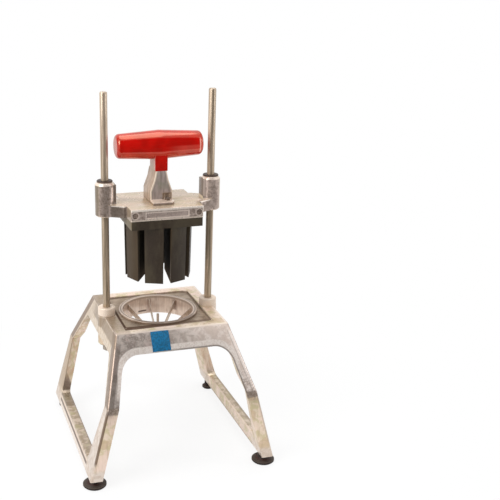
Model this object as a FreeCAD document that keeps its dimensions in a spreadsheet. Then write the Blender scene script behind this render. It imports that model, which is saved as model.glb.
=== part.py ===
import FreeCAD, Part
import math
import os

import Sketcher

# A hand press that pushes a whole apple through eight blades set in a ring.
# A four-legged cast base holds the ring and two upright guide rods. A cast carriage
# with a black pusher and a red T-handle slides on the rods.
# X runs from rod to rod, the front faces -Y, and the feet stand on Z = 0.

os.makedirs("parts", exist_ok=True)
doc = FreeCAD.newDocument("wedger_press")

# ---- driving dimensions, millimetres and degrees ----

SIZES = (
    ("rod_gauge", 139.0, "distance between the axes of the two guide rods"),
    ("rod_dia", 9.5, "guide rod diameter, 3/8 inch"),
    ("rod_top", 470.0, "height of the rod tops"),
    ("rod_tip_taper", 1.5, "taper at the rod tops"),
    ("table_top", 182.0, "height of the base's top face"),
    ("table_width", 147.5, "base top face, across"),
    ("table_depth", 143.0, "base top face, front to back"),
    ("table_wall", 8.0, "thickness of the base's top wall"),
    ("knee_height", 105.0, "height where the legs bend"),
    ("knee_width", 194.4, "outer width of the base at the knees"),
    ("knee_depth", 246.0, "outer depth of the base at the knees"),
    ("leg_bottom", 12.5, "height of the leg ends above the floor"),
    ("foot_width", 242.0, "outer width of the base at the leg ends"),
    ("foot_depth", 256.6, "outer depth of the base at the leg ends"),
    ("arch_top", 159.0, "height of the front and back arches"),
    ("arch_width", 136.6, "width of the arch at its top, before rounding"),
    ("arch_knee_width", 165.0, "width of the arch at the knees"),
    ("arch_foot_width", 210.8, "width of the arch at the leg ends"),
    ("arch_radius", 24.0, "corner radius of the arch"),
    ("window_top", 156.0, "height of the side windows"),
    ("window_depth", 134.0, "side window at its top, front to back"),
    ("window_knee_depth", 214.0, "side window at the knees"),
    ("window_foot_depth", 188.0, "side window at the runners"),
    ("window_radius", 9.0, "corner radius of the side windows"),
    ("runner_top", 28.0, "height of the runners' top face"),
    ("runner_inner", 211.0, "clear width between the runners"),
    ("draft_start", 3.0, "how far behind the legs' front and back faces their draft starts"),
    ("draft_knee", 3.0, "how much thinner the draft makes the legs beside the window, at the knees"),
    ("draft_top", 122.0, "height where that draft runs out"),
    ("side_wall", 5.5, "thickness of the side aprons, measured level"),
    ("front_wall", 6.6, "thickness of the front and back aprons, measured level"),
    ("hollow_end", 112.0, "height where the hollow under the table runs out"),
    ("corner_round", 2.4, "rounding of the base's outer corners"),
    ("recess_width", 116.0, "blade frame recess, across"),
    ("recess_depth", 115.0, "blade frame recess, front to back"),
    ("recess_sink", 4.0, "depth of the recess below the table top"),
    ("recess_round", 8.0, "corner radius of the recess"),
    ("throat_dia", 100.0, "hole through the table under the recess"),
    ("boss_dia", 23.4, "rod boss on the base"),
    ("boss_bottom", 141.0, "height of the rod boss's lower end"),
    ("boss_bevel", 1.5, "height of the bevel at the lower end of the rod boss"),
    ("boss_slope", 42.0, "angle of that bevel"),
    ("collar_dia", 22.6, "stop collar on the rod"),
    ("collar_tall", 10.3, "height of the stop collar"),
    ("collar_edge", 0.8, "bevel round the collar's top"),
    ("stud_dia", 6.0, "threaded end of the rod"),
    ("stud_long", 10.7, "length of the threaded end"),
    ("frame_plate", 2.5, "thickness of the blade frame"),
    ("frame_gap", 0.3, "gap between blade frame and recess"),
    ("ring_dia", 93.0, "clear diameter of the blade ring"),
    ("ring_wall", 1.6, "wall of the blade ring"),
    ("ring_bottom", 158.0, "height of the ring's lower edge"),
    ("bead_dia", 103.6, "outer diameter of the ring's rolled bead"),
    ("bead_tall", 2.6, "height of the bead above the blade frame"),
    ("blade_count", 8, "number of blades"),
    ("blade_thick", 1.0, "blade thickness"),
    ("blade_tall", 8.0, "blade height, edge to back"),
    ("blade_rim", 179.5, "height of the cutting edge at the ring"),
    ("blade_core", 141.0, "height of the cutting edge at the hub"),
    ("hub_flats", 3.2, "eight-sided centre pin, across its flats"),
    ("hub_top", 175.0, "height of the centre pin's tip"),
    ("hub_bottom", 130.0, "height of the centre pin's lower end"),
    ("pad_front_x", 112.6, "distance of the front feet from the middle, across"),
    ("pad_back_x", 110.4, "distance of the back feet from the middle, across"),
    ("pad_front_y", 113.5, "distance of the front feet from the middle, lengthways"),
    ("pad_back_y", 108.0, "distance of the back feet from the middle, lengthways"),
    ("pad_front_dia", 29.6, "front rubber foot diameter"),
    ("pad_back_dia", 17.0, "back rubber foot diameter"),
    ("pad_front_neck", 13.0, "front rubber foot, diameter of its neck"),
    ("pad_back_neck", 10.0, "back rubber foot, diameter of its neck"),
    ("pad_edge", 1.2, "bevel round the foot's disc"),
    ("pad_rim", 4.4, "height of the disc at its edge"),
    ("pad_rise", 0.8, "rise of the disc's top from its edge to the neck"),
    ("cast_pad_dia", 9.0, "round pad on each runner end"),
    ("cast_pad_x", 112.0, "distance of the runner pads from the middle, across"),
    ("cast_pad_y", 82.0, "distance of the runner pads from the middle, front to back"),
    ("cast_pad_rise", 0.7, "height of the runner pads"),
    ("label_width", 23.6, "blue label, across"),
    ("label_left", 30.0, "left edge of the label, left of the middle"),
    ("label_bottom", 160.0, "height of the label's lower edge"),
    ("label_top", 181.5, "height of the label's upper edge"),
    ("label_thick", 0.4, "blue label thickness"),
    ("deck_top", 331.7, "height of the carriage plate's top face"),
    ("deck_thick", 14.7, "thickness of the carriage plate"),
    ("deck_width", 93.5, "carriage plate, across"),
    ("deck_depth", 87.0, "carriage plate, front to back"),
    ("arm_root", 45.4, "width of the arms where they leave the plate"),
    ("arm_shoulder", 100.4, "distance between the places where the arms start to narrow"),
    ("sleeve_dia", 24.6, "carriage sleeve around each rod"),
    ("deck_round", 1.6, "corner radius of the deck and of the pusher's flange"),
    ("sleeve_bore", 13.0, "bore of the sleeve between its bushings"),
    ("panel_wide", 55.0, "panel on the deck's front edge, across"),
    ("panel_tall", 7.2, "height of that panel"),
    ("panel_height", 323.6, "height of the panel's middle"),
    ("panel_sink", 0.6, "depth of the panel"),
    ("sleeve_top", 358.8, "height of the sleeve's top"),
    ("sleeve_bottom", 315.5, "height of the sleeve's lower end"),
    ("sleeve_rim_tall", 3.2, "height of the bevel round the sleeve's top"),
    ("sleeve_rim_wide", 2.3, "width of that bevel"),
    ("sleeve_foot_bevel", 1.5, "bevel round the sleeve's lower end"),
    ("web_reach", 12.6, "squared side of the sleeve, from the rod axis"),
    ("web_width", 17.2, "width of the squared side of the sleeve"),
    ("web_top", 356.2, "height of the squared side's top"),
    ("bush_dia", 16.0, "bushing outer diameter"),
    ("bush_bore", 9.64, "bushing bore, running on the rod"),
    ("bush_flange", 20.0, "bushing flange diameter"),
    ("bush_proud", 2.3, "bushing flange thickness"),
    ("bush_edge", 0.6, "bevel round the bushing's flange"),
    ("bush_long", 14.0, "length of each bushing in the sleeve"),
    ("flange_thick", 11.2, "pusher flange thickness"),
    ("flange_width", 92.5, "pusher flange, across"),
    ("flange_depth", 86.4, "pusher flange, front to back"),
    ("finger_bottom", 232.5, "height of the finger ends"),
    ("finger_top_flat", 85.0, "pusher across opposite finger faces, at the flange"),
    ("finger_end_flat", 82.6, "pusher across opposite finger faces, at the ends"),
    ("finger_slot", 10.0, "slot between two fingers"),
    ("finger_cone", 14.0, "rise of the finger ends towards the middle"),
    ("lug_dia", 8.4, "round lug on the pusher flange"),
    ("lug_tall", 12.0, "height of the lug"),
    ("lug_x", 41.0, "distance of the lugs from the middle, across"),
    ("lug_y", 29.0, "distance of the lugs from the middle, front to back"),
    ("lock_height", 324.2, "height of the lock screws in the carriage edge"),
    ("lock_head", 7.0, "lock screw head diameter"),
    ("lock_sink", 3.0, "depth of the lock screw heads below the face"),
    ("post_front", 14.5, "handle post, from the middle to its front face"),
    ("post_back", 20.0, "handle post, from the middle to its back face"),
    ("ledge_front", 29.0, "ledge in front of the post, from the middle to its front edge"),
    ("ledge_thick", 3.6, "thickness of that ledge"),
    ("ledge_round", 7.0, "rounding of the ledge's corner beside its screw"),
    ("post_waist", 13.6, "handle post, across at its top"),
    ("post_root", 28.6, "handle post, across at its foot"),
    ("post_bend", 360.0, "height where the post begins to widen faster"),
    ("post_bend_wide", 18.4, "handle post, across at that height"),
    ("post_swell", 346.0, "height where the post reaches its full width"),
    ("post_shoulder", 371.8, "height where the post ends and the grip's tongue begins"),
    ("tenon_front", 10.0, "tenon inside the grip, from the middle to its front"),
    ("tenon_back", 16.0, "tenon inside the grip, from the middle to its back"),
    ("tenon_top", 396.0, "height of the tenon's top"),
    ("screw_x", 7.2, "post screw, from the middle to the right"),
    ("screw_y", 17.2, "post screw, from the middle to the front"),
    ("screw_pocket", 12.4, "clearance pocket for the post screw's head"),
    ("screw_pocket_tall", 8.0, "height of that pocket"),
    ("grip_end_round", 5.0, "rounding of the grip's ends"),
    ("grip_axis", 402.5, "height of the grip's axis"),
    ("grip_long", 111.0, "grip length"),
    ("grip_end", 30.2, "grip diameter near its ends"),
    ("grip_mid", 36.8, "grip diameter at the middle"),
    ("tongue_wide", 16.0, "tongue on the front of the grip, across"),
    ("bolt_dia", 8.0, "draw bolt diameter"),
    ("bolt_end", 407.0, "height of the draw bolt's end"),
    ("bolt_head_dia", 13.0, "draw bolt head diameter"),
    ("bolt_head_tall", 6.0, "draw bolt head height"),
    ("insert_dia", 12.0, "threaded insert in the grip"),
    ("insert_long", 13.0, "length of the threaded insert"),
    ("screw_dia", 4.0, "diameter of the small screws"),
    ("screw_head_dia", 6.8, "head diameter of the small screws"),
    ("screw_head_tall", 3.0, "head height of the small screws"),
    ("screw_grip", 10.7, "depth of the post screw in the carriage"),
    ("frame_screw_at", 46.0, "blade frame screws, from the middle both ways"),
    ("frame_screw_bite", 2.0, "depth of those screws in the blade frame"),
    ("bolt_gap", 0.1, "play of a bolt or pin in its hole, on the diameter"),
    ("end_play", 0.5, "room past the end of a lug, a screw or a bolt head"),
    ("head_gap", 0.4, "how far a sunk screw stays below the face around it"),
    ("nut_flats", 10.0, "rod nut, across its flats"),
    ("nut_tall", 8.0, "height of the rod nut"),
    ("washer_dia", 13.0, "washer under the rod boss"),
    ("washer_thick", 1.2, "thickness of that washer"),
    ("socket_deep", 15.0, "depth of the foot sockets in the legs"),
    ("stud_bottom", 4.0, "height of the foot studs' lower ends"),
)

sheet = doc.addObject("Spreadsheet::Sheet", "sizes")
for row, (name, value, note) in enumerate(SIZES, 1):
    sheet.set(f"A{row}", name)
    sheet.set(f"B{row}", str(value))
    sheet.setAlias(f"B{row}", name)
    sheet.set(f"C{row}", note)
doc.recompute()


class Size:
    """A length with its value and the sheet expression it comes from."""

    def __init__(self, value, text):
        self.value = float(value)
        self.text = text

    def join(self, other, sign, value):
        return Size(value, f"({self.text} {sign} {other.text})")

    def __add__(self, other):
        other = size(other)
        return self.join(other, "+", self.value + other.value)

    def __sub__(self, other):
        other = size(other)
        return self.join(other, "-", self.value - other.value)

    def __mul__(self, other):
        other = size(other)
        return self.join(other, "*", self.value * other.value)

    def __truediv__(self, other):
        other = size(other)
        return self.join(other, "/", self.value / other.value)

    def __radd__(self, other):
        return size(other) + self

    def __rsub__(self, other):
        return size(other) - self

    def __rmul__(self, other):
        return size(other) * self

    def __neg__(self):
        return size(0) - self


def size(value):
    if isinstance(value, Size):
        return value
    return Size(value, str(float(value)))


def cell(name):
    return Size(sheet.get(name), "sizes." + name)


S = {name: cell(name) for name, _, _ in SIZES}
HALF_GAUGE = S["rod_gauge"] / 2


# ---- sketch and feature helpers ----

def vector(x, y, z):
    return FreeCAD.Vector(x, y, z)


ALONG_X = vector(1, 0, 0)
ALONG_Y = vector(0, 1, 0)
ALONG_Z = vector(0, 0, 1)
SIDES = (("left", -1), ("right", 1))
NODES = []


def new_body(label):
    body = doc.addObject("PartDesign::Body", label)
    body.Label = label
    return body


def origin_item(body, role):
    """One of the body's own origin planes or axes."""
    return next(item for item in body.Origin.OriginFeatures if item.Role == role)


def new_sketch(body, name, role, offset=0.0):
    """A sketch on one of the body's own origin planes, moved along its normal."""
    sketch = body.newObject("Sketcher::SketchObject", f"{body.Name}_{name}")
    sketch.AttachmentSupport = [(origin_item(body, role), "")]
    sketch.MapMode = "FlatFace"
    offset = size(offset)
    sketch.AttachmentOffset.Base = vector(0, 0, offset.value)
    sketch.setExpression("AttachmentOffset.Base.z", offset.text)
    return sketch


def pin_point(sketch, geometry, end, x, y):
    """Fixes one point of a sketch at expressions of the sheet."""
    for kind, distance in (("DistanceX", x), ("DistanceY", y)):
        distance = size(distance)
        index = sketch.addConstraint(Sketcher.Constraint(kind, geometry, end, distance.value))
        sketch.setExpression(f"Constraints[{index}]", distance.text)


def polygon(sketch, corners):
    """A closed outline of straight lines through corners given as Size pairs."""
    corners = [(size(x), size(y)) for x, y in corners]
    first = sketch.GeometryCount
    count = len(corners)
    for step, (x, y) in enumerate(corners):
        next_x, next_y = corners[(step + 1) % count]
        line = Part.LineSegment(vector(x.value, y.value, 0), vector(next_x.value, next_y.value, 0))
        sketch.addGeometry(line)
    for step, (x, y) in enumerate(corners):
        before = first + (step - 1) % count
        sketch.addConstraint(Sketcher.Constraint("Coincident", before, 2, first + step, 1))
        pin_point(sketch, first + step, 1, x, y)


def rectangle(sketch, width, height, x=0.0, y=0.0):
    x, y = size(x), size(y)
    right, top = size(width) / 2, size(height) / 2
    left, right, low, high = x - right, x + right, y - top, y + top
    polygon(sketch, ((left, low), (right, low), (right, high), (left, high)))


def regular(sketch, count, half_flats, turned_steps):
    """A regular outline; its corners start on the X axis, turned by a fraction of a step."""
    reach = half_flats / math.cos(math.pi / count)
    corners = []
    for number in range(count):
        angle = (number + turned_steps) * 2 * math.pi / count
        corners.append((reach * math.cos(angle), reach * math.sin(angle)))
    polygon(sketch, corners)


def rounded_rectangle(sketch, width, height, radius):
    """Four sides joined by quarter arcs, centred on the sketch's origin."""
    right, top, radius = size(width) / 2, size(height) / 2, size(radius)
    sides = (
        ((radius - right, -top), (right - radius, -top)),
        ((right, radius - top), (right, top - radius)),
        ((right - radius, top), (radius - right, top)),
        ((-right, top - radius), (-right, radius - top)),
    )
    centres = ((1, -1), (1, 1), (-1, 1), (-1, -1))
    for step, (start, end) in enumerate(sides):
        ends = [vector(x.value, y.value, 0) for x, y in (start, end)]
        sketch.addGeometry(Part.LineSegment(*ends))
        side_x, side_y = centres[step]
        middle = vector(side_x * (right - radius).value, side_y * (top - radius).value, 0)
        ring = Part.Circle(middle, vector(0, 0, 1), radius.value)
        turned = (step - 1) * math.pi / 2
        sketch.addGeometry(Part.ArcOfCircle(ring, turned, turned + math.pi / 2))
    for step, (start, end) in enumerate(sides):
        line, arc, next_line = 2 * step, 2 * step + 1, (2 * step + 2) % 8
        sketch.addConstraint(Sketcher.Constraint("Coincident", line, 2, arc, 1))
        sketch.addConstraint(Sketcher.Constraint("Coincident", arc, 2, next_line, 1))
        pin_point(sketch, line, 1, *start)
        pin_point(sketch, line, 2, *end)
        constraint = sketch.addConstraint(Sketcher.Constraint("Radius", arc, radius.value))
        sketch.setExpression(f"Constraints[{constraint}]", radius.text)


def circle(sketch, diameter, x=0.0, y=0.0):
    x, y, radius = size(x), size(y), size(diameter) / 2
    normal = vector(0, 0, 1)
    index = sketch.addGeometry(Part.Circle(vector(x.value, y.value, 0), normal, radius.value))
    pin_point(sketch, index, 3, x, y)
    constraint = sketch.addConstraint(Sketcher.Constraint("Radius", index, radius.value))
    sketch.setExpression(f"Constraints[{constraint}]", radius.text)


def feature(body, kind, name, profile, **settings):
    item = body.newObject("PartDesign::" + kind, f"{body.Name}_{name}")
    item.Profile = profile
    profile.Visibility = False
    for key, value in settings.items():
        if isinstance(value, Size):
            item.setExpression(key, value.text)
        else:
            setattr(item, key, value)
    return item


def pad(body, name, profile, length, **settings):
    return feature(body, "Pad", name, profile, Length=size(length), **settings)


def pocket(body, name, profile, length, **settings):
    """Cuts along the sketch's normal unless Reversed says against it."""
    settings.setdefault("Reversed", True)
    return feature(body, "Pocket", name, profile, Length=size(length), **settings)


def turn(body, kind, name, profile, axis="V_Axis"):
    return feature(body, kind, name, profile, ReferenceAxis=(profile, [axis]), Angle=360.0)


def pattern(body, name, source, count, role="Z_Axis"):
    item = body.newObject("PartDesign::PolarPattern", f"{body.Name}_{name}")
    item.Originals = [source]
    item.Axis = (origin_item(body, role), [""])
    item.Angle = 360.0
    item.Occurrences = int(size(count).value)
    item.setExpression("Occurrences", size(count).text)
    body.Tip = item
    return item


def edges_where(shape, along, test):
    """Names of the edges that run mostly along one axis and whose two ends pass the test."""
    names = []
    for number, edge in enumerate(shape.Edges, 1):
        if len(edge.Vertexes) == 2:
            start, end = (vertex.Point for vertex in edge.Vertexes)
            run = end - start
            if along and abs(run.dot(along)) > 0.6 * run.Length and test(start) and test(end):
                names.append(f"Edge{number}")
        elif along is None and test(edge.Vertexes[0].Point):
            names.append(f"Edge{number}")
    return names


def dress(body, kind, name, names, amount):
    """Rounds or chamfers the named edges of the body's last feature."""
    base = body.Tip
    item = body.newObject("PartDesign::" + kind, f"{body.Name}_{name}")
    item.Base = (base, names)
    key = "Radius" if kind == "Fillet" else "Size"
    item.setExpression(key, size(amount).text)
    return item


def rounded(body, name, along, test, amount, kind="Fillet"):
    doc.recompute()
    return dress(body, kind, name, edges_where(body.Tip.Shape, along, test), amount)


def near(value, target, slack=0.2):
    return abs(value - target) < slack


def cylinder(name, diameter, height, x=0.0, y=0.0, z=0.0):
    item = doc.addObject("Part::Cylinder", name)
    item.setExpression("Radius", (size(diameter) / 2).text)
    item.setExpression("Height", size(height).text)
    place(item, x, y, z)
    return item


def place(item, x, y, z):
    for key, distance in (("x", x), ("y", y), ("z", z)):
        item.setExpression("Placement.Base." + key, size(distance).text)


def lie_along_y(item):
    """Turns an upright solid so that its height runs along +Y."""
    item.Placement = FreeCAD.Placement(vector(0, 0, 0), FreeCAD.Rotation(ALONG_X, -90))


def ring(name, outer, inner, height, x=0.0, y=0.0, z=0.0):
    """A washer or sleeve made of two cylinders."""
    solid = cylinder(name + "_outer", outer, height, x, y, z)
    hole = cylinder(name + "_inner", inner, height, x, y, z)
    return cut(name, solid, hole)


def turned(label, outline, x=0.0, y=0.0, z=0.0):
    """A body turned about its own upright axis from an outline of radius and height pairs."""
    body = new_body(label)
    sketch = new_sketch(body, "outline", "XZ_Plane")
    polygon(sketch, outline)
    turn(body, "Revolution", "turned", sketch)
    place(body, x, y, z)
    return body


def cut(name, base, tool):
    item = doc.addObject("Part::Cut", name)
    item.Base = base
    item.Tool = tool
    return item


def group(label, members):
    """Identical or joined solids kept in one node."""
    item = doc.addObject("Part::MultiFuse", label)
    item.Shapes = members
    item.Label = label
    return item


def keep(item, label=None):
    if label:
        item.Label = label
    NODES.append(item)
    return item


def mirrored_outline(right_half):
    """A closed outline from the points of its right half, listed from top to bottom."""
    left_half = [(-size(x), z) for x, z in reversed(right_half)]
    return list(right_half) + left_half


# ---- base casting: table, aprons, four bent legs and two runners in one aluminium casting ----

def between(level, low, high, at_low, at_high):
    """A size that runs evenly from one height to another."""
    return at_low + (at_high - at_low) * ((level - low) / (high - low))


def leg_draft(body, sign, number, level):
    """What the draft takes off the inner side of one right-hand leg, seen from above at one level."""
    knee, foot, runner = S["knee_height"], S["leg_bottom"], S["runner_top"]
    above = level.value > knee.value
    if above:
        # at this level the cut is just clear of the leg, so the draft fades out
        inner = between(level, knee, S["arch_top"], S["arch_knee_width"], S["arch_width"]) / 2
        outer = between(level, knee, S["table_top"], S["knee_depth"], S["table_depth"]) / 2
        window = between(level, knee, S["window_top"], S["window_knee_depth"], S["window_depth"]) / 2
        thinned = inner - S["bolt_gap"]
    else:
        inner = between(level, foot, knee, S["arch_foot_width"], S["arch_knee_width"]) / 2
        outer = between(level, foot, knee, S["foot_depth"], S["knee_depth"]) / 2
        window = between(level, runner, knee, S["window_foot_depth"], S["window_knee_depth"]) / 2
        at_knee = S["arch_knee_width"] / 2 + S["draft_knee"]
        thinned = between(level, runner, knee, S["runner_inner"] / 2, at_knee)
        if level.value < runner.value:
            thinned = S["runner_inner"] / 2
    start = outer - S["draft_start"]
    ahead = start + (start - window) / 2
    clear = inner - (thinned - inner) / 2
    free = S["arch_width"] / 2
    section = new_sketch(body, f"draft_{sign + 1}_{number}", "XY_Plane", level)
    polygon(section, (
        (clear, sign * ahead), (thinned, sign * window), (thinned, sign * free),
        (free, sign * free), (free, sign * ahead),
    ))
    return section


def make_base_casting():
    body = new_body("base_casting")

    # the outline is drawn and rounded as its +X half, then mirrored
    front = new_sketch(body, "front_view", "XZ_Plane")
    polygon(front, (
        (0.0, S["table_top"]),
        (S["table_width"] / 2, S["table_top"]),
        (S["knee_width"] / 2, S["knee_height"]),
        (S["foot_width"] / 2, S["leg_bottom"]),
        (S["arch_foot_width"] / 2, S["leg_bottom"]),
        (S["arch_knee_width"] / 2, S["knee_height"]),
        (S["arch_width"] / 2, S["arch_top"]),
        (0.0, S["arch_top"]),
    ))
    pad(body, "front_block", front, S["foot_depth"], Midplane=True)

    arch_x = S["arch_width"].value / 2
    arch_z = S["arch_top"].value

    def on_arch_corner(p):
        return near(abs(p.x), arch_x) and near(p.z, arch_z)
    rounded(body, "arch_corners", ALONG_Y, on_arch_corner, S["arch_radius"])

    # the side view is cut out of that block: two wedges outside the legs, one window between them
    margin = 20.0
    side = new_sketch(body, "side_view", "YZ_Plane")
    for sign in (-1, 1):
        outside = S["foot_depth"] / 2 + margin
        polygon(side, (
            (sign * S["table_depth"] / 2, S["table_top"]),
            (sign * S["knee_depth"] / 2, S["knee_height"]),
            (sign * S["foot_depth"] / 2, S["leg_bottom"]),
            (sign * outside, S["leg_bottom"]),
            (sign * outside, S["table_top"] + margin),
            (sign * S["table_depth"] / 2, S["table_top"] + margin),
        ))
    polygon(side, mirrored_outline((
        (S["window_depth"] / 2, S["window_top"]),
        (S["window_knee_depth"] / 2, S["knee_height"]),
        (S["window_foot_depth"] / 2, S["runner_top"]),
    )))
    pocket(body, "side_cut", side, S["foot_width"] + margin, Midplane=True)

    # rounded outer corners of aprons and legs
    top_x, top_y = S["table_width"].value / 2, S["table_depth"].value / 2
    knee_x, knee_y = S["knee_width"].value / 2, S["knee_depth"].value / 2
    foot_x, foot_y = S["foot_width"].value / 2, S["foot_depth"].value / 2

    def on_outer_corner(p):
        at_top = near(abs(p.x), top_x) and near(abs(p.y), top_y)
        at_knee = near(abs(p.x), knee_x) and near(abs(p.y), knee_y)
        at_foot = near(abs(p.x), foot_x) and near(abs(p.y), foot_y)
        return at_top or at_knee or at_foot
    rounded(body, "outer_corners", ALONG_Z, on_outer_corner, S["corner_round"])

    window_y, window_z = S["window_depth"].value / 2, S["window_top"].value
    runner_y, runner_z = S["window_foot_depth"].value / 2, S["runner_top"].value

    def on_window_corner(p):
        at_top = near(abs(p.y), window_y) and near(p.z, window_z)
        return at_top or (near(abs(p.y), runner_y) and near(p.z, runner_z))
    rounded(body, "window_corners", ALONG_X, on_window_corner, S["window_radius"])

    # the legs' inner sides are drafted, so the legs are thinner beside the windows
    for sign in (-1, 1):
        levels = (S["leg_bottom"] - margin, S["runner_top"], S["knee_height"], S["draft_top"])
        sections = [leg_draft(body, sign, number, level) for number, level in enumerate(levels)]
        draft = body.newObject("PartDesign::SubtractiveLoft", f"base_casting_draft_{sign + 1}")
        draft.Profile = sections[0]
        draft.Sections = sections[1:]
        draft.Ruled = True

    doc.recompute()
    whole = body.newObject("PartDesign::Mirrored", "base_casting_whole")
    whole.TransformMode = "Whole shape"
    whole.MirrorPlane = (origin_item(body, "YZ_Plane"), [""])
    body.Tip = whole

    # straight inner walls of the runners
    trim = new_sketch(body, "runner_trim", "XY_Plane", S["leg_bottom"])
    rectangle(trim, S["runner_inner"], S["window_foot_depth"] - 2 * S["window_radius"])
    pocket(body, "runner_walls", trim, S["runner_top"] - S["leg_bottom"] + S["window_radius"])

    # the hollow under the table follows the aprons, then runs out at the legs
    side_slope = (S["knee_width"] - S["table_width"]) / 2 / (S["table_top"] - S["knee_height"])
    front_slope = (S["knee_depth"] - S["table_depth"]) / 2 / (S["table_top"] - S["knee_height"])
    roof = S["table_top"] - S["table_wall"]
    sections = []
    for number, level in enumerate((roof, S["window_top"])):
        section = new_sketch(body, f"hollow_{number}", "XY_Plane", level)
        drop = S["table_top"] - level
        width = S["table_width"] + 2 * side_slope * drop - 2 * S["side_wall"]
        depth = S["table_depth"] + 2 * front_slope * drop - 2 * S["front_wall"]
        rectangle(section, width, depth)
        sections.append(section)
    last = new_sketch(body, "hollow_2", "XY_Plane", S["hollow_end"])
    fall = (S["arch_top"] - S["hollow_end"]) / (S["arch_top"] - S["knee_height"])
    leg_gap = S["arch_width"] + (S["arch_knee_width"] - S["arch_width"]) * fall
    fall = (S["window_top"] - S["hollow_end"]) / (S["window_top"] - S["knee_height"])
    leg_span = S["window_depth"] + (S["window_knee_depth"] - S["window_depth"]) * fall
    rectangle(last, leg_gap, leg_span)
    sections.append(last)
    hollow = body.newObject("PartDesign::SubtractiveLoft", "base_casting_hollow")
    hollow.Profile = sections[0]
    hollow.Sections = sections[1:]
    hollow.Ruled = True

    # rod bosses through the table, bevelled at the lower end
    shank = new_sketch(body, "boss_shanks", "XY_Plane", S["boss_bottom"] + S["boss_bevel"])
    for sign in (-1, 1):
        circle(shank, S["boss_dia"], sign * HALF_GAUGE)
    pad(body, "rod_bosses", shank, S["table_top"] - S["boss_bottom"] - S["boss_bevel"])
    ends = new_sketch(body, "boss_ends", "XY_Plane", S["boss_bottom"] + S["boss_bevel"])
    for sign in (-1, 1):
        circle(ends, S["boss_dia"], sign * HALF_GAUGE)
    pad(body, "boss_bevels", ends, S["boss_bevel"], Reversed=True, TaperAngle=-S["boss_slope"])

    recess = new_sketch(body, "recess", "XY_Plane", S["table_top"])
    rounded_rectangle(recess, S["recess_width"], S["recess_depth"], S["recess_round"])
    pocket(body, "frame_recess", recess, S["recess_sink"], Reversed=False)

    holes = new_sketch(body, "holes", "XY_Plane", S["boss_bottom"])
    circle(holes, S["throat_dia"])
    for sign in (-1, 1):
        circle(holes, S["rod_dia"] + S["bolt_gap"], sign * HALF_GAUGE)
    pocket(body, "throat_and_bores", holes, S["table_top"] - S["boss_bottom"] + S["end_play"])
    screw_holes = new_sketch(body, "screw_holes", "XY_Plane", S["boss_bottom"])
    for side_x in (-1, 1):
        for side_y in (-1, 1):
            circle(screw_holes, S["screw_dia"] + 4 * S["bolt_gap"],
                   side_x * S["frame_screw_at"], side_y * S["frame_screw_at"])
    pocket(body, "frame_screw_holes", screw_holes, S["table_top"] - S["boss_bottom"])

    # threaded sockets for the feet, and a round pad on each runner end
    sockets = new_sketch(body, "sockets", "XY_Plane", S["leg_bottom"])
    pads = new_sketch(body, "runner_pads", "XY_Plane", S["runner_top"])
    for side_x in (-1, 1):
        circle(sockets, S["stud_dia"] + S["bolt_gap"], side_x * S["pad_front_x"], -S["pad_front_y"])
        circle(sockets, S["stud_dia"] + S["bolt_gap"], side_x * S["pad_back_x"], S["pad_back_y"])
        for side_y in (-1, 1):
            circle(pads, S["cast_pad_dia"], side_x * S["cast_pad_x"], side_y * S["cast_pad_y"])
    pocket(body, "foot_sockets", sockets, S["socket_deep"])
    pad(body, "cast_pads", pads, S["cast_pad_rise"])
    keep(body)


# ---- rods, their collars, washers and nuts ----

def make_rods():
    radius, shoulder = S["rod_dia"] / 2, S["boss_bottom"]
    taper = S["rod_tip_taper"]
    outline = (
        (0.0, shoulder - S["stud_long"]),
        (S["stud_dia"] / 2, shoulder - S["stud_long"]),
        (S["stud_dia"] / 2, shoulder),
        (radius, shoulder),
        (radius, S["rod_top"] - taper),
        (radius - taper / 2, S["rod_top"]),
        (0.0, S["rod_top"]),
    )
    for side, sign in SIDES:
        keep(turned("guide_rod_" + side, outline, sign * HALF_GAUGE))


def make_collars():
    bore = (S["rod_dia"] + S["bolt_gap"]) / 2
    outer, base = S["collar_dia"] / 2, S["table_top"]
    top = base + S["collar_tall"]
    edge = S["collar_edge"]
    outline = ((bore, base), (outer, base), (outer, top - edge), (outer - edge, top), (bore, top))
    screws = []
    for side, sign in SIDES:
        body = turned("rod_collar_" + side, outline, sign * HALF_GAUGE)
        hole = new_sketch(body, "set_screw_hole", "XZ_Plane")
        circle(hole, S["screw_dia"] + S["bolt_gap"], 0.0, base + S["collar_tall"] / 2)
        pocket(body, "tapped", hole, S["collar_dia"], Reversed=False)
        keep(body)
        screw = cylinder("set_screw_" + side, S["screw_dia"], outer - S["rod_dia"] / 2 - S["head_gap"])
        lie_along_y(screw)
        place(screw, sign * HALF_GAUGE, S["rod_dia"] / 2, base + S["collar_tall"] / 2)
        screws.append(screw)
    keep(group("collar_set_screws", screws))


def make_rod_fasteners():
    washer_z = S["boss_bottom"] - S["washer_thick"]
    nut_z = washer_z - S["nut_tall"]
    bore = S["stud_dia"] + S["bolt_gap"]
    washers = []
    nuts = []
    for side, sign in SIDES:
        x = sign * HALF_GAUGE
        washers.append(ring("washer_" + side, S["washer_dia"], bore, S["washer_thick"], x, 0.0, washer_z))
        nut = doc.addObject("Part::Prism", "nut_blank_" + side)
        nut.Polygon = 6
        nut.setExpression("Circumradius", (S["nut_flats"] / 2 / math.cos(math.pi / 6)).text)
        nut.setExpression("Height", S["nut_tall"].text)
        place(nut, x, 0.0, nut_z)
        hole = cylinder("nut_hole_" + side, bore, S["nut_tall"], x, 0.0, nut_z)
        nuts.append(cut("nut_" + side, nut, hole))
    keep(group("rod_washers", washers))
    keep(group("rod_nuts", nuts))


# ---- blade set: frame plate, ring, eight blades, centre pin, screws ----

def frame_screw_points():
    at = S["frame_screw_at"]
    return [(side_x * at, side_y * at) for side_x in (-1, 1) for side_y in (-1, 1)]


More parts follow.
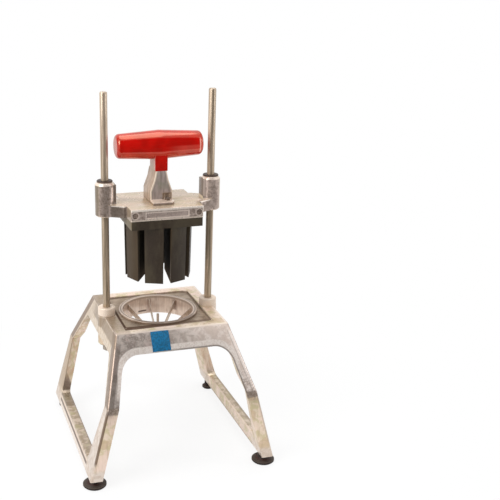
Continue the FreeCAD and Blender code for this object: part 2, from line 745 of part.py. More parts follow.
def make_blade_frame():
    floor = S["table_top"] - S["recess_sink"]
    outer = S["ring_dia"] + 2 * S["ring_wall"]
    gap = 2 * S["frame_gap"]

    body = new_body("blade_frame")
    plate = new_sketch(body, "plate", "XY_Plane", floor)
    corner = S["recess_round"] - S["frame_gap"]
    rounded_rectangle(plate, S["recess_width"] - gap, S["recess_depth"] - gap, corner)
    pad(body, "plate_pad", plate, S["frame_plate"])
    opening = new_sketch(body, "opening", "XY_Plane", floor)
    circle(opening, outer + 2 * S["bolt_gap"])
    pocket(body, "ring_hole", opening, S["frame_plate"])
    taps = new_sketch(body, "taps", "XY_Plane", floor)
    for x, y in frame_screw_points():
        circle(taps, S["screw_dia"] + S["bolt_gap"], x, y)
    pocket(body, "blind_taps", taps, S["frame_screw_bite"])
    keep(body)

    roof = S["table_top"] - S["table_wall"]
    shank = S["table_wall"] - S["recess_sink"] + S["frame_screw_bite"]
    screws = []
    for number, (x, y) in enumerate(frame_screw_points(), 1):
        tall = S["screw_head_tall"]
        screws.append(cylinder(f"frame_shank_{number}", S["screw_dia"], shank, x, y, roof))
        screws.append(cylinder(f"frame_head_{number}", S["screw_head_dia"], tall, x, y, roof - tall))
    keep(group("blade_frame_screws", screws))


def make_blade_ring():
    inner = S["ring_dia"] / 2
    outer = inner + S["ring_wall"]
    seat = S["table_top"] - S["recess_sink"] + S["frame_plate"]
    top = seat + S["bead_tall"]
    lip = S["bead_dia"] / 2
    soft = S["bead_tall"] / 3
    body = turned("blade_ring", (
        (inner, S["ring_bottom"]), (outer, S["ring_bottom"]), (outer, seat), (lip, seat),
        (lip, top - soft), (lip - soft, top), (inner + soft, top), (inner, top - soft),
    ))
    slot = new_sketch(body, "slot", "XY_Plane", S["blade_rim"] - S["blade_tall"] - S["bolt_gap"] / 2)
    rectangle(slot, 3 * S["ring_wall"], S["blade_thick"] + S["bolt_gap"], inner + S["ring_wall"])
    first = pocket(body, "blade_slot", slot, S["blade_tall"] + S["bolt_gap"])
    pattern(body, "blade_slots", first, S["blade_count"])
    keep(body)


def make_blades():
    inner, wall = S["ring_dia"] / 2, S["ring_dia"] / 2 + S["ring_wall"]
    core = S["hub_flats"] / 2
    outline = (
        (core, S["blade_core"]), (inner, S["blade_rim"]), (wall, S["blade_rim"]),
        (wall, S["blade_rim"] - S["blade_tall"]), (inner, S["blade_rim"] - S["blade_tall"]),
        (core, S["blade_core"] - S["blade_tall"]),
    )
    count = int(S["blade_count"].value)
    for number in range(count):
        body = new_body(f"slicing_blade_{number + 1:02d}")
        side = new_sketch(body, "side_view", "XZ_Plane")
        polygon(side, outline)
        pad(body, "sheet", side, S["blade_thick"], Midplane=True)
        turned_by = FreeCAD.Rotation(ALONG_Z, number * 360 / count)
        body.Placement = FreeCAD.Placement(vector(0, 0, 0), turned_by)
        keep(body)

    pin = new_body("blade_hub")
    section = new_sketch(pin, "section", "XY_Plane", S["hub_bottom"])
    regular(section, count, core, 0.5)
    pad(pin, "pin", section, S["hub_top"] - S["hub_bottom"])
    keep(pin)


# ---- size label on the front apron, bare ----

def make_label():
    slope = (S["knee_depth"] - S["table_depth"]) / 2 / (S["table_top"] - S["knee_height"])
    lean = math.atan(slope.value)
    out, up = S["label_thick"] * math.cos(lean), S["label_thick"] * math.sin(lean)
    low, high = S["label_bottom"], S["label_top"]

    def apron_y(level):
        return -(S["table_depth"] / 2 + slope * (S["table_top"] - level))
    body = new_body("size_label")
    side = new_sketch(body, "side_view", "YZ_Plane", -S["label_left"])
    polygon(side, (
        (apron_y(low), low), (apron_y(high), high),
        (apron_y(high) - out, high + up), (apron_y(low) - out, low + up),
    ))
    pad(body, "film", side, S["label_width"])
    keep(body)


# ---- rubber feet and the studs that hold them ----

def make_feet():
    top, hole = S["leg_bottom"], (S["stud_dia"] + S["bolt_gap"]) / 2
    rim, edge = S["pad_rim"], S["pad_edge"]
    studs = []
    low, length = S["stud_bottom"], top + S["socket_deep"] - S["stud_bottom"]
    for end_name, dia, neck_dia, across, y in (
        ("front", S["pad_front_dia"], S["pad_front_neck"], S["pad_front_x"], -S["pad_front_y"]),
        ("back", S["pad_back_dia"], S["pad_back_neck"], S["pad_back_x"], S["pad_back_y"]),
    ):
        half, neck = dia / 2, neck_dia / 2
        outline = (
            (0.0, 0.0), (half - edge, 0.0), (half, edge), (half, rim - edge), (half - edge, rim),
            (neck, rim + S["pad_rise"]), (neck, top), (hole, top), (hole, low), (0.0, low),
        )
        for side, side_x in SIDES:
            x = side_x * across
            keep(turned(f"foot_{end_name}_{side}", outline, x, y))
            studs.append(cylinder(f"stud_{end_name}_{side}", S["stud_dia"], length, x, y, low))
    keep(group("foot_studs", studs))


# ---- carriage casting: deck, two flared arms, two sleeves ----

def lug_points():
    return [(side_x * S["lug_x"], side_y * S["lug_y"]) for side_x in (-1, 1) for side_y in (-1, 1)]


def make_carriage_casting():
    bottom = S["deck_top"] - S["deck_thick"]
    body = new_body("carriage_casting")
    deck = new_sketch(body, "deck", "XY_Plane", bottom)
    rounded_rectangle(deck, S["deck_width"], S["deck_depth"], S["deck_round"])
    pad(body, "deck_pad", deck, S["deck_thick"])

    arms = new_sketch(body, "arms", "XY_Plane", bottom)
    wide_x, wide_y, tip_y = S["arm_shoulder"] / 2, S["arm_root"] / 2, S["sleeve_dia"] / 2
    polygon(arms, (
        (-HALF_GAUGE, -tip_y), (-wide_x, -wide_y), (wide_x, -wide_y), (HALF_GAUGE, -tip_y),
        (HALF_GAUGE, tip_y), (wide_x, wide_y), (-wide_x, wide_y), (-HALF_GAUGE, tip_y),
    ))
    pad(body, "arms_pad", arms, S["deck_thick"])

    tall = S["sleeve_top"] - S["sleeve_bottom"]
    sleeves = new_sketch(body, "sleeves", "XY_Plane", S["sleeve_bottom"])
    webs = new_sketch(body, "webs", "XY_Plane", bottom)
    for sign in (-1, 1):
        circle(sleeves, S["sleeve_dia"], sign * HALF_GAUGE)
        rectangle(webs, S["web_reach"], S["web_width"], sign * (HALF_GAUGE - S["web_reach"] / 2))
    pad(body, "sleeves_pad", sleeves, tall)
    pad(body, "webs_pad", webs, S["web_top"] - bottom)

    # bevels turned round both ends of each sleeve
    wall = S["sleeve_dia"] / 2 + S["bolt_gap"] / 2
    low, high, foot = S["sleeve_bottom"], S["sleeve_top"], S["sleeve_foot_bevel"]
    for side, sign in SIDES:
        bevels = new_sketch(body, "bevels_" + side, "XZ_Plane")
        bevels.setExpression("AttachmentOffset.Base.x", (sign * HALF_GAUGE).text)
        polygon(bevels, (
            (wall - S["sleeve_rim_wide"], high), (wall, high - S["sleeve_rim_tall"]), (wall, high),
        ))
        polygon(bevels, ((wall - foot, low), (wall, low), (wall, low + foot)))
        turn(body, "Groove", "bevel_cut_" + side, bevels)

    # each sleeve is bored right through and counterbored at both ends for its bushings
    bores = new_sketch(body, "bores", "XY_Plane", S["sleeve_bottom"])
    low_seats = new_sketch(body, "low_seats", "XY_Plane", S["sleeve_bottom"])
    high_seats = new_sketch(body, "high_seats", "XY_Plane", S["sleeve_top"] - S["bush_long"])
    for sign in (-1, 1):
        circle(bores, S["sleeve_bore"], sign * HALF_GAUGE)
        circle(low_seats, S["bush_dia"] + S["bolt_gap"], sign * HALF_GAUGE)
        circle(high_seats, S["bush_dia"] + S["bolt_gap"], sign * HALF_GAUGE)
    pocket(body, "through_bores", bores, tall)
    pocket(body, "lower_seats", low_seats, S["bush_long"])
    pocket(body, "upper_seats", high_seats, S["bush_long"])

    # underside: lug pockets and the draw bolt's head
    lugs = new_sketch(body, "lugs", "XY_Plane", bottom)
    for x, y in lug_points():
        circle(lugs, S["lug_dia"] + 2 * S["bolt_gap"], x, y)
    pocket(body, "lug_pockets", lugs, S["lug_tall"] + S["end_play"])
    bolt = new_sketch(body, "bolt", "XY_Plane", bottom)
    circle(bolt, S["bolt_dia"] + 2 * S["bolt_gap"])
    pocket(body, "bolt_hole", bolt, S["deck_thick"])
    head = new_sketch(body, "head", "XY_Plane", bottom)
    circle(head, S["bolt_head_dia"] + 4 * S["end_play"])
    pocket(body, "head_seat", head, S["bolt_head_tall"] + S["end_play"])

    # top: tapped hole for the post's screw
    tap = new_sketch(body, "tap", "XY_Plane", S["deck_top"])
    circle(tap, S["screw_dia"] + S["bolt_gap"], S["screw_x"], -S["screw_y"])
    pocket(body, "post_tap", tap, S["screw_grip"], Reversed=False)

    # front and back edges: sunk lock screws
    face = S["deck_depth"] / 2
    reach = face - S["lug_y"] - S["lug_dia"] / 2
    for name, sign in (("front", 1), ("back", -1)):
        heads = new_sketch(body, name + "_heads", "XZ_Plane", sign * face)
        shanks = new_sketch(body, name + "_shanks", "XZ_Plane", sign * face)
        for side_x in (-1, 1):
            circle(heads, S["lock_head"] + 4 * S["bolt_gap"], side_x * S["lug_x"], S["lock_height"])
            circle(shanks, S["screw_dia"] + S["bolt_gap"], side_x * S["lug_x"], S["lock_height"])
        sink = S["lock_sink"] + S["head_gap"] / 2
        pocket(body, name + "_lock_heads", heads, sink, Reversed=sign < 0)
        pocket(body, name + "_lock_shanks", shanks, reach + S["end_play"], Reversed=sign < 0)

    # front edge: shallow panel
    panel = new_sketch(body, "panel", "XZ_Plane", face)
    rectangle(panel, S["panel_wide"], S["panel_tall"], 0.0, S["panel_height"])
    pocket(body, "panel_recess", panel, S["panel_sink"], Reversed=False)
    keep(body)


def make_bushings():
    bore, outer, lip = S["bush_bore"] / 2, S["bush_dia"] / 2, S["bush_flange"] / 2
    top, low, run = S["sleeve_top"], S["sleeve_bottom"], S["bush_long"]
    proud = top + S["bush_proud"]
    edge = S["bush_edge"]
    upper = (
        (bore, top - run), (outer, top - run), (outer, top), (lip, top),
        (lip, proud - edge), (lip - edge, proud), (bore, proud),
    )
    lower = ((bore, low), (outer, low), (outer, low + run), (bore, low + run))
    for side, sign in SIDES:
        keep(turned("bushing_upper_" + side, upper, sign * HALF_GAUGE))
        keep(turned("bushing_lower_" + side, lower, sign * HALF_GAUGE))


# ---- pusher: flange, eight fingers, four lugs; the lock screws hold the lugs ----

def make_pusher():
    top = S["deck_top"] - S["deck_thick"]
    flange = top - S["flange_thick"]
    tip = S["finger_bottom"]
    count = int(S["blade_count"].value)

    body = new_body("pusher_head")
    plate = new_sketch(body, "plate", "XY_Plane", flange)
    rounded_rectangle(plate, S["flange_width"], S["flange_depth"], S["deck_round"])
    pad(body, "flange_pad", plate, S["flange_thick"])

    upper = new_sketch(body, "upper", "XY_Plane", flange)
    regular(upper, count, S["finger_top_flat"] / 2, 0.0)
    lower = new_sketch(body, "lower", "XY_Plane", tip)
    regular(lower, count, S["finger_end_flat"] / 2, 0.0)
    fingers = body.newObject("PartDesign::AdditiveLoft", "pusher_head_fingers")
    fingers.Profile = upper
    fingers.Sections = [lower]
    fingers.Ruled = True

    cone = new_sketch(body, "cone", "XZ_Plane")
    polygon(cone, ((0.0, tip), (S["finger_end_flat"] / 2, tip), (0.0, tip + S["finger_cone"])))
    turn(body, "Groove", "cone_cut", cone)

    # one slot from the middle out past the fingers, turned eight times
    slot = new_sketch(body, "slot", "XY_Plane", tip)
    rectangle(slot, S["flange_width"] * 2 / 3, S["finger_slot"], S["flange_width"] / 3)
    first = pocket(body, "slot_cut", slot, flange - tip)
    pattern(body, "slots", first, count)

    lugs = new_sketch(body, "lugs", "XY_Plane", top)
    for x, y in lug_points():
        circle(lugs, S["lug_dia"], x, y)
    pad(body, "lugs_pad", lugs, S["lug_tall"])
    keep(body)

    # a lock screw bears on the side of each lug
    face = S["deck_depth"] / 2
    start = S["lug_y"] + S["lug_dia"] / 2
    reach = face - S["lock_sink"] - start
    thick = S["lock_sink"] - S["head_gap"]
    screws = []
    for number, (x, y) in enumerate(lug_points(), 1):
        shank = cylinder(f"lock_shank_{number}", S["screw_dia"], reach)
        head = cylinder(f"lock_head_{number}", S["lock_head"], thick)
        for item, near_end, length in ((shank, start, reach), (head, start + reach, thick)):
            lie_along_y(item)
            y_low = near_end if y.value > 0 else -(near_end + length)
            place(item, x, y_low, S["lock_height"])
            screws.append(item)
    keep(group("pusher_lock_screws", screws))


# ---- handle: post, its screw, grip, draw bolt, insert ----

def make_post():
    base = S["deck_top"]
    ledge = base + S["ledge_thick"]
    front, back = S["post_front"], S["post_back"]
    body = new_body("handle_post")
    foot = new_sketch(body, "foot", "XY_Plane", base)
    rectangle(foot, S["post_root"], S["ledge_front"] + back, 0.0, (back - S["ledge_front"]) / 2)
    pad(body, "foot_pad", foot, S["ledge_thick"])
    corner_x, corner_y = S["post_root"].value / 2, -S["ledge_front"].value

    def beside_screw(p):
        return near(p.x, corner_x) and near(p.y, corner_y)
    rounded(body, "ledge_corner", ALONG_Z, beside_screw, S["ledge_round"])
    shaft = new_sketch(body, "shaft", "XZ_Plane", front)
    polygon(shaft, mirrored_outline((
        (S["post_waist"] / 2, S["post_shoulder"]),
        (S["post_bend_wide"] / 2, S["post_bend"]),
        (S["post_root"] / 2, S["post_swell"]),
        (S["post_root"] / 2, base),
    )))
    pad(body, "shaft_pad", shaft, front + back, Reversed=True)
    tenon = new_sketch(body, "tenon", "XY_Plane", S["post_shoulder"])
    deep = S["tenon_front"] + S["tenon_back"]
    rectangle(tenon, S["post_waist"], deep, 0.0, (S["tenon_back"] - S["tenon_front"]) / 2)
    pad(body, "tenon_pad", tenon, S["tenon_top"] - S["post_shoulder"])

    x, y = S["screw_x"], -S["screw_y"]
    head_room = new_sketch(body, "head_room", "XY_Plane", ledge)
    circle(head_room, S["screw_pocket"], x, y)
    pocket(body, "screw_pocket", head_room, S["screw_pocket_tall"])
    hole = new_sketch(body, "hole", "XY_Plane", base)
    circle(hole, S["screw_dia"] + 2 * S["bolt_gap"], x, y)
    pocket(body, "screw_hole", hole, S["ledge_thick"])
    bolt = new_sketch(body, "bolt", "XY_Plane", base)
    circle(bolt, S["bolt_dia"] + 2 * S["bolt_gap"])
    pocket(body, "bolt_hole", bolt, S["tenon_top"] - base)
    keep(body)

    low = base - S["screw_grip"] + S["end_play"]
    shank = cylinder("post_shank", S["screw_dia"], ledge - low, x, y, low)
    head = cylinder("post_head", S["screw_head_dia"], S["screw_head_tall"], x, y, ledge)
    keep(group("post_screw", [shank, head]))


def make_grip():
    axis = S["grip_axis"]
    half, end, middle = S["grip_long"] / 2, S["grip_end"] / 2, S["grip_mid"] / 2
    socket_top = S["tenon_top"] + S["bolt_gap"]

    # the grip's own origin is on its axis
    body = new_body("handle_grip")
    outline = new_sketch(body, "outline", "XZ_Plane")
    polygon(outline, ((-half, 0.0), (-half, end), (0.0, middle), (half, end), (half, 0.0)))
    turn(body, "Revolution", "turned", outline, "H_Axis")
    half_long = half.value
    rounded(body, "end_rounds", None, lambda p: near(abs(p.x), half_long), S["grip_end_round"])

    # one tongue down the front of the post; behind it the socket for the tenon
    tongue = new_sketch(body, "tongue", "XY_Plane", S["post_shoulder"] - axis)
    wide = S["post_front"] - S["tenon_front"] - S["bolt_gap"] / 2
    rectangle(tongue, S["tongue_wide"], wide, 0.0, wide / 2 - S["post_front"])
    pad(body, "tongue_pad", tongue, axis - S["post_shoulder"])
    socket = new_sketch(body, "socket", "XY_Plane", S["post_shoulder"] - axis)
    deep = S["tenon_front"] + S["tenon_back"] + S["bolt_gap"]
    rectangle(socket, S["post_waist"] + S["bolt_gap"], deep, 0.0, (S["tenon_back"] - S["tenon_front"]) / 2)
    pocket(body, "tenon_socket", socket, socket_top - S["post_shoulder"])
    hole = new_sketch(body, "insert_hole", "XY_Plane", socket_top - axis)
    circle(hole, S["insert_dia"] + S["bolt_gap"])
    pocket(body, "insert_socket", hole, S["insert_long"])
    place(body, 0.0, 0.0, axis)
    keep(body)

    bolt_hole = S["bolt_dia"] + S["bolt_gap"]
    keep(ring("grip_insert", S["insert_dia"], bolt_hole, S["insert_long"], 0.0, 0.0, socket_top))

    seat = S["deck_top"] - S["deck_thick"] + S["bolt_head_tall"] + S["end_play"]
    shank, head = S["bolt_dia"] / 2, S["bolt_head_dia"] / 2
    keep(turned("handle_draw_bolt", (
        (0.0, seat - S["bolt_head_tall"]), (head, seat - S["bolt_head_tall"]), (head, seat),
        (shank, seat), (shank, S["bolt_end"]), (0.0, S["bolt_end"]),
    )))


make_base_casting()
make_rods()
make_collars()
make_rod_fasteners()
make_blade_frame()
make_blade_ring()
make_blades()
make_label()
make_feet()
make_carriage_casting()
make_bushings()
make_pusher()
make_post()
make_grip()
doc.recompute()

faults = []
for item in doc.Objects:
    if "Invalid" in item.State or "Error" in item.State:
        faults.append(f"{item.Name}: {item.State}")
for node in NODES:
    if node.Shape.isNull() or not node.Shape.isValid():
        faults.append(f"{node.Label}: null or invalid shape")
if faults:
    raise RuntimeError("; ".join(faults))
for node in NODES:
    node.Shape.exportStep(f"parts/{node.Label}.step")
print(len(NODES), "parts written")
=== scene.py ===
import math

import bmesh
import bpy
from mathutils import Matrix, Vector


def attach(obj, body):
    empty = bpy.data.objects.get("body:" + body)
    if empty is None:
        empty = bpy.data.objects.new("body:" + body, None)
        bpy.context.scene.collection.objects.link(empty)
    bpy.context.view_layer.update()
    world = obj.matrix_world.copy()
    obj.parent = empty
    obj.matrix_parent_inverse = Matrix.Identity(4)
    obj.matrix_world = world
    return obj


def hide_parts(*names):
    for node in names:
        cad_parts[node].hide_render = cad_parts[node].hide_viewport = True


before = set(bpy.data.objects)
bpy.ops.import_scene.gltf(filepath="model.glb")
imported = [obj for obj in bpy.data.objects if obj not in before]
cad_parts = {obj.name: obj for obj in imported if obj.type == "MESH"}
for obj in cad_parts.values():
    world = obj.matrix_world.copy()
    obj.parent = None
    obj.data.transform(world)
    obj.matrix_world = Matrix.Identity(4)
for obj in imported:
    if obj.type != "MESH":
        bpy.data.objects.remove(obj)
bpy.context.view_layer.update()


# ---- base casting ----
# One aluminium sand casting: a square table on sloped aprons, four bent legs and two
# runners. It is buffed by hand, so its faces are cloudy; the bright lines on its corners
# are painted highlights.

MM = 0.001


class Socket:
    """An output in a finish's node tree. Arithmetic on it adds Math nodes."""

    def __init__(self, finish, output):
        self.finish = finish
        self.output = output

    def math(self, operation, *others):
        return self.finish.node("ShaderNodeMath", {"operation": operation}, self, *others)

    def __add__(self, other):
        return self.math("ADD", other)

    def __radd__(self, other):
        return self.math("ADD", other)

    def __sub__(self, other):
        return self.math("SUBTRACT", other)

    def __rsub__(self, other):
        return self.finish.node("ShaderNodeMath", {"operation": "SUBTRACT"}, other, self)

    def __mul__(self, other):
        return self.math("MULTIPLY", other)

    def __rmul__(self, other):
        return self.math("MULTIPLY", other)

    def at_least(self, other):
        return self.math("MAXIMUM", other)

    def at_most(self, other):
        return self.math("MINIMUM", other)

    def size(self):
        return self.math("ABSOLUTE")

    def step(self, low, high):
        """Rises smoothly from 0 at low to 1 at high."""
        settings = {"interpolation_type": "SMOOTHSTEP"}
        return self.finish.node("ShaderNodeMapRange", settings, self, low, high)

    def below(self, level, fade):
        """1 up to a level, then 0 once it is past by a fade."""
        return 1 - self.step(level, level + fade)

    def within(self, low, high, fade):
        """1 between two levels, with a fade outside each."""
        return self.step(low - fade, low) * self.below(high, fade)


def distance(one, other):
    """How far a point is from an axis, from its two coordinates across the axis."""
    return (one * one + other * other).math("SQRT")


class Pattern:
    """A node tree that nodes are added to."""

    def __init__(self, tree):
        self.tree = tree

    def node(self, kind, settings, *values, out=None):
        """Adds a node: its settings first, then values or links for its sockets in order."""
        node = self.tree.nodes.new(kind)
        for key, value in settings.items():
            setattr(node, key, value)
        inputs = [socket for socket in node.inputs if socket.enabled]
        for socket, value in zip(inputs, values):
            self.feed(socket, value)
        outputs = {socket.name: socket for socket in node.outputs if socket.enabled}
        return Socket(self, outputs[out] if out else next(iter(outputs.values())))

    def feed(self, socket, value):
        if isinstance(value, Socket):
            self.tree.links.new(value.output, socket)
        elif value is not None:
            socket.default_value = value


class Finish(Pattern):
    """A material: a Principled shader and patterns in millimetres of the press."""

    def __init__(self, name):
        self.material = bpy.data.materials.new(name)
        self.material.use_nodes = True
        super().__init__(self.material.node_tree)
        self.shader = self.tree.nodes["Principled BSDF"]
        metres = self.node("ShaderNodeTexCoord", {}, out="Object")
        facing = Socket(self, metres.output.node.outputs["Normal"])
        self.place = self.node("ShaderNodeVectorMath", {"operation": "SCALE"}, metres, 1 / MM)
        self.x, self.y, self.z = [self.axis(self.place, letter) for letter in "XYZ"]
        self.face_x, self.face_y, self.face_z = [self.axis(facing, letter) for letter in "XYZ"]

    def axis(self, vector, letter):
        return self.node("ShaderNodeSeparateXYZ", {}, vector, out=letter)

    def set(self, **inputs):
        """Feeds the shader's sockets; Base_Color stands for Base Color."""
        for name, value in inputs.items():
            self.feed(self.shader.inputs[name.replace("_", " ")], value)

    def noise(self, scale, detail=4.0, rough=0.5, stretch=(1, 1, 1), shift=(0, 0, 0), twist=0.0):
        """Cloudy noise whose patches are about 1 / scale millimetres across."""
        where = self.node("ShaderNodeMapping", {}, self.place, shift, None, stretch)
        return self.node("ShaderNodeTexNoise", {}, where, scale, detail, rough, 2.0, twist)

    def blend(self, factor, first, second):
        """Mixes two colours."""
        return self.node("ShaderNodeMix", {"data_type": "RGBA"}, factor, first, second)

    def paint(self, mask, colour):
        """Lays a colour over the finish's own, as thickly as the mask says."""
        self.colour = self.blend(mask, self.colour, colour)

    def bump(self, height, rise, strength):
        """Roughens the surface: where height is 1 it stands up by a rise in metres."""
        self.set(Normal=self.node("ShaderNodeBump", {}, strength, rise, None, height))


def tone(red, green, blue):
    """A display colour from 0 to 255 as the linear colour that a shader takes."""
    levels = []
    for level in (red, green, blue):
        level /= 255
        levels.append(level / 12.92 if level <= 0.04045 else ((level + 0.055) / 1.055) ** 2.4)
    return (*levels, 1.0)


class CastFinish(Finish):
    """Buffed cast aluminium: its colour starts warm and cloudy, with brushed streaks."""

    def __init__(self, name):
        super().__init__(name)
        self.cloud = self.noise(0.1, 5, 0.62, twist=0.5)
        self.drift = self.noise(0.045, 3, 0.55, shift=(31, 7, 19))
        self.speck = self.noise(0.42, 3, 0.65)
        self.brushed = self.noise(0.35, 3, 0.6, stretch=(1, 1, 0.09))
        self.clouds = self.cloud.step(0.4, 0.6)
        self.front = self.face_y.size().step(0.5, 0.75)
        self.colour = self.blend(self.clouds, tone(232, 212, 192), tone(208, 194, 156))
        self.paint(self.drift.step(0.5, 0.58) * 0.8, tone(238, 213, 198))
        self.paint(self.drift.below(0.4, 0.06) * 0.6, tone(204, 176, 146))
        self.paint(self.brushed.step(0.5, 0.68) * 0.45, tone(186, 162, 134))

    def settle(self, rough=0.3, dirt_and_shade=0.0):
        """Finishes the material: the pattern also makes it rough and uneven; painted shade dulls
        it.
        """
        grain = self.cloud * 0.5 + self.speck * 0.3 + self.brushed * 0.2
        roughness = grain * 0.3 + (rough - 0.1) + dirt_and_shade * 0.5
        self.set(Base_Color=self.colour, Metallic=0.45 - dirt_and_shade * 0.45, Roughness=roughness)
        self.bump(grain, 0.4 * MM, 0.3)
        return self.material


def copy_of(node):
    """A frame node's mesh, merged, with its flat faces whole again."""
    shape = bmesh.new()
    shape.from_mesh(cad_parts[node].data)
    bmesh.ops.remove_doubles(shape, verts=shape.verts, dist=0.01 * MM)
    bmesh.ops.dissolve_limit(
        shape, angle_limit=math.radians(0.4), verts=shape.verts, edges=shape.edges,
        use_dissolve_boundaries=False, delimit=set())
    return shape


def soften(shape, width):
    """Bevels the edges where the faces turn sharply."""
    sharp_turn = math.radians(28)
    edges = []
    for edge in shape.edges:
        if len(edge.link_faces) == 2 and edge.calc_face_angle(0) > sharp_turn:
            edges.append(edge)
    bmesh.ops.bevel(
        shape, geom=edges, offset=width, segments=2, profile=0.5,
        affect="EDGES", clamp_overlap=True, material=-1)


def add_object(shape, name, material):
    """Turns a bmesh into an object of one material."""
    mesh = bpy.data.meshes.new(name)
    shape.to_mesh(mesh)
    shape.free()
    mesh.materials.append(material)
    made = bpy.data.objects.new(name, mesh)
    bpy.context.scene.collection.objects.link(made)
    return made


def finish_piece(shape, node, body, material):
    """Makes a bmesh the piece that stands for a node and rides on its body."""
    piece = add_object(shape, node + "_piece", material)
    piece.data.shade_smooth()
    piece.data.set_sharp_from_angle(angle=math.radians(40))
    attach(piece, body)
    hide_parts(node)


def dressed(node, width, body, material):
    """A frame node's own shape with its edges broken."""
    shape = copy_of(node)
    if width:
        soften(shape, width)
    finish_piece(shape, node, body, material)


TABLE_TOP, TABLE_HALF_WIDE, TABLE_HALF_DEEP, KNEE = 182.0, 73.75, 71.5, 105.0
base = CastFinish("base_aluminium")
across, along, up = base.x.size(), base.y.size(), base.z
over_knee, under_knee = up.at_least(KNEE), up.at_most(KNEE)


def spread(half, top, upper_slope, lower_slope):
    """Half a width at each height: one slope outwards to the knees, another below them."""
    return half + (top - over_knee) * upper_slope + (KNEE - under_knee) * lower_slope


from_side = spread(TABLE_HALF_WIDE, TABLE_TOP, 0.3045, 0.2573) - across
from_front = spread(TABLE_HALF_DEEP, TABLE_TOP, 0.6688, 0.0573) - along
outer_front = from_front.below(1.2, 0.8)
outer_side = from_side.below(1.2, 0.8)
upper_leg = up.step(KNEE - 1, KNEE + 3)
left, right = base.x.below(-20, 20), base.x.step(-30, 75)
far_left = base.x.below(-60, 20)

# the front faces above the knees are painted cloudy grey, a painted reflection of dark
# surroundings, darker on the left and lighter to the right as painted shade and light;
# warm below and on the sides
warm_side = base.blend(base.brushed.step(0.4, 0.66), tone(224, 208, 190), tone(196, 176, 150))
# the sides of the back legs are painted darker: painted shade
back_leg = base.y.step(30, 60) * up.step(24, 30) * (0.85 - upper_leg * 0.6)
warm_side = base.blend(back_leg, warm_side, tone(180, 158, 134))
base.paint(outer_side, warm_side)
cool_left = base.blend(base.cloud.step(0.36, 0.62), tone(196, 184, 176), tone(150, 138, 130))
cool_left = base.blend(base.speck.step(0.5, 0.62) * 0.5, cool_left, tone(212, 198, 188))
cool_left = base.blend(base.drift.step(0.54, 0.66) * 0.35, cool_left, tone(204, 176, 168))
cool_right = base.blend(base.clouds, tone(250, 236, 227), tone(228, 210, 198))
cool_right = base.blend(base.speck.step(0.52, 0.64) * 0.5, cool_right, tone(204, 188, 176))
cool = base.blend(right, cool_left, cool_right)
base.paint(base.front * outer_front * upper_leg, cool)
pale = base.blend(base.clouds, tone(224, 210, 198), tone(206, 188, 172))
base.paint(outer_side * (1 - upper_leg) * base.y.below(20, 20), pale)
base.paint(up.below(22, 8) * along.step(84, 100), pale)

# a pale band of painted highlight follows the arch, with a thin line of painted shade
# where its edge turns under
ARCH_TOP, ARCH_HALF, ARCH_BEND, ARCH_CORNER, ARCH_ROUND = 159.0, 68.3, 141.1, 49.8, 24.0
from_leg = across - spread(ARCH_HALF, ARCH_TOP, 0.263, 0.2476)
round_x = (across - ARCH_CORNER).at_least(0.0)
round_z = up - ARCH_TOP + ARCH_ROUND
arch_round = distance(round_x, round_z) - ARCH_ROUND
from_arch = from_leg + (arch_round - from_leg) * up.math("GREATER_THAN", ARCH_BEND)
band_width = up.step(128, 156) * 3.4 + 4.2
band = (from_arch - band_width).below(-0.8, 1.4) * outer_front * up.step(112, 122)
arch_highlight_tone = base.blend(base.speck.step(0.42, 0.62), tone(252, 242, 234), tone(232, 218, 208))
base.paint(band * 0.9, arch_highlight_tone)
arch_edge_shade = from_arch.below(1.2, 1.0) * outer_front * upper_leg * base.x.step(-40, 20)
base.paint(arch_edge_shade * 0.7, tone(112, 100, 92))

# outer corners above the knees: a painted highlight, with painted shade beside it on the
# side faces and, on the left, in front as well; a painted shadow hangs under the left rim
beside = from_side.within(2.2, 7.2, 1.2) * outer_front * up.within(KNEE, 165, 12) * left
base.paint(beside * 0.6, tone(108, 96, 88))
corner = from_side.below(1.5, 0.7) * from_front.below(1.6, 0.8) * upper_leg
base.paint(corner * 0.9, tone(190, 168, 153))
shade = from_side.below(1.0, 0.8) * from_front.within(1.8, 14.0, 2.0) * upper_leg
base.paint(shade * 0.85, tone(128, 106, 90))
under_rim = outer_side * up.within(168, 179, 3) * base.x.below(-60, 1) * base.y.below(30, 30)
base.paint(under_rim * 0.75, tone(140, 120, 100))

# on the right the front has a painted highlight along its edge, between two thin grey lines
# of painted shade, and it is blotchy above the knee
apron = up.within(KNEE + 4, 172, 5)
right_edge_highlight = from_side.within(1.4, 4.2, 0.6) * outer_front * apron * right
base.paint(right_edge_highlight * 0.7, tone(250, 238, 230))
thin_edge = (from_side.within(4.8, 5.5, 0.5) + from_side.below(0.5, 0.3)).at_most(1.0)
base.paint(thin_edge * outer_front * apron * right * 0.45, tone(176, 164, 156))
blotches = right * outer_front * up.within(KNEE + 2, 116, 18) * base.speck.step(0.42, 0.58)
base.paint(blotches * 0.55, tone(160, 142, 130))

# below the knees the corner is painted dark as painted shade, and painted shade lies across
# the bend of the front knees
low_corner = from_side.below(2.3, 0.8) * from_front.below(2.4, 0.8) * up.within(38, 103, 6)
base.paint(low_corner * left * 0.9, tone(116, 94, 74))
base.paint(low_corner * (1 - left) * 0.3, tone(150, 132, 116))
knee_shade_level = up + base.speck * 5.0 - across * 0.06
knee_shade = knee_shade_level.within(97.5, 103.5, 2.2) * outer_front * base.y.below(0, 1)
knee_shade_tone = base.blend(base.speck.step(0.42, 0.6), tone(128, 112, 102), tone(164, 148, 136))
base.paint(knee_shade * 0.9, knee_shade_tone)
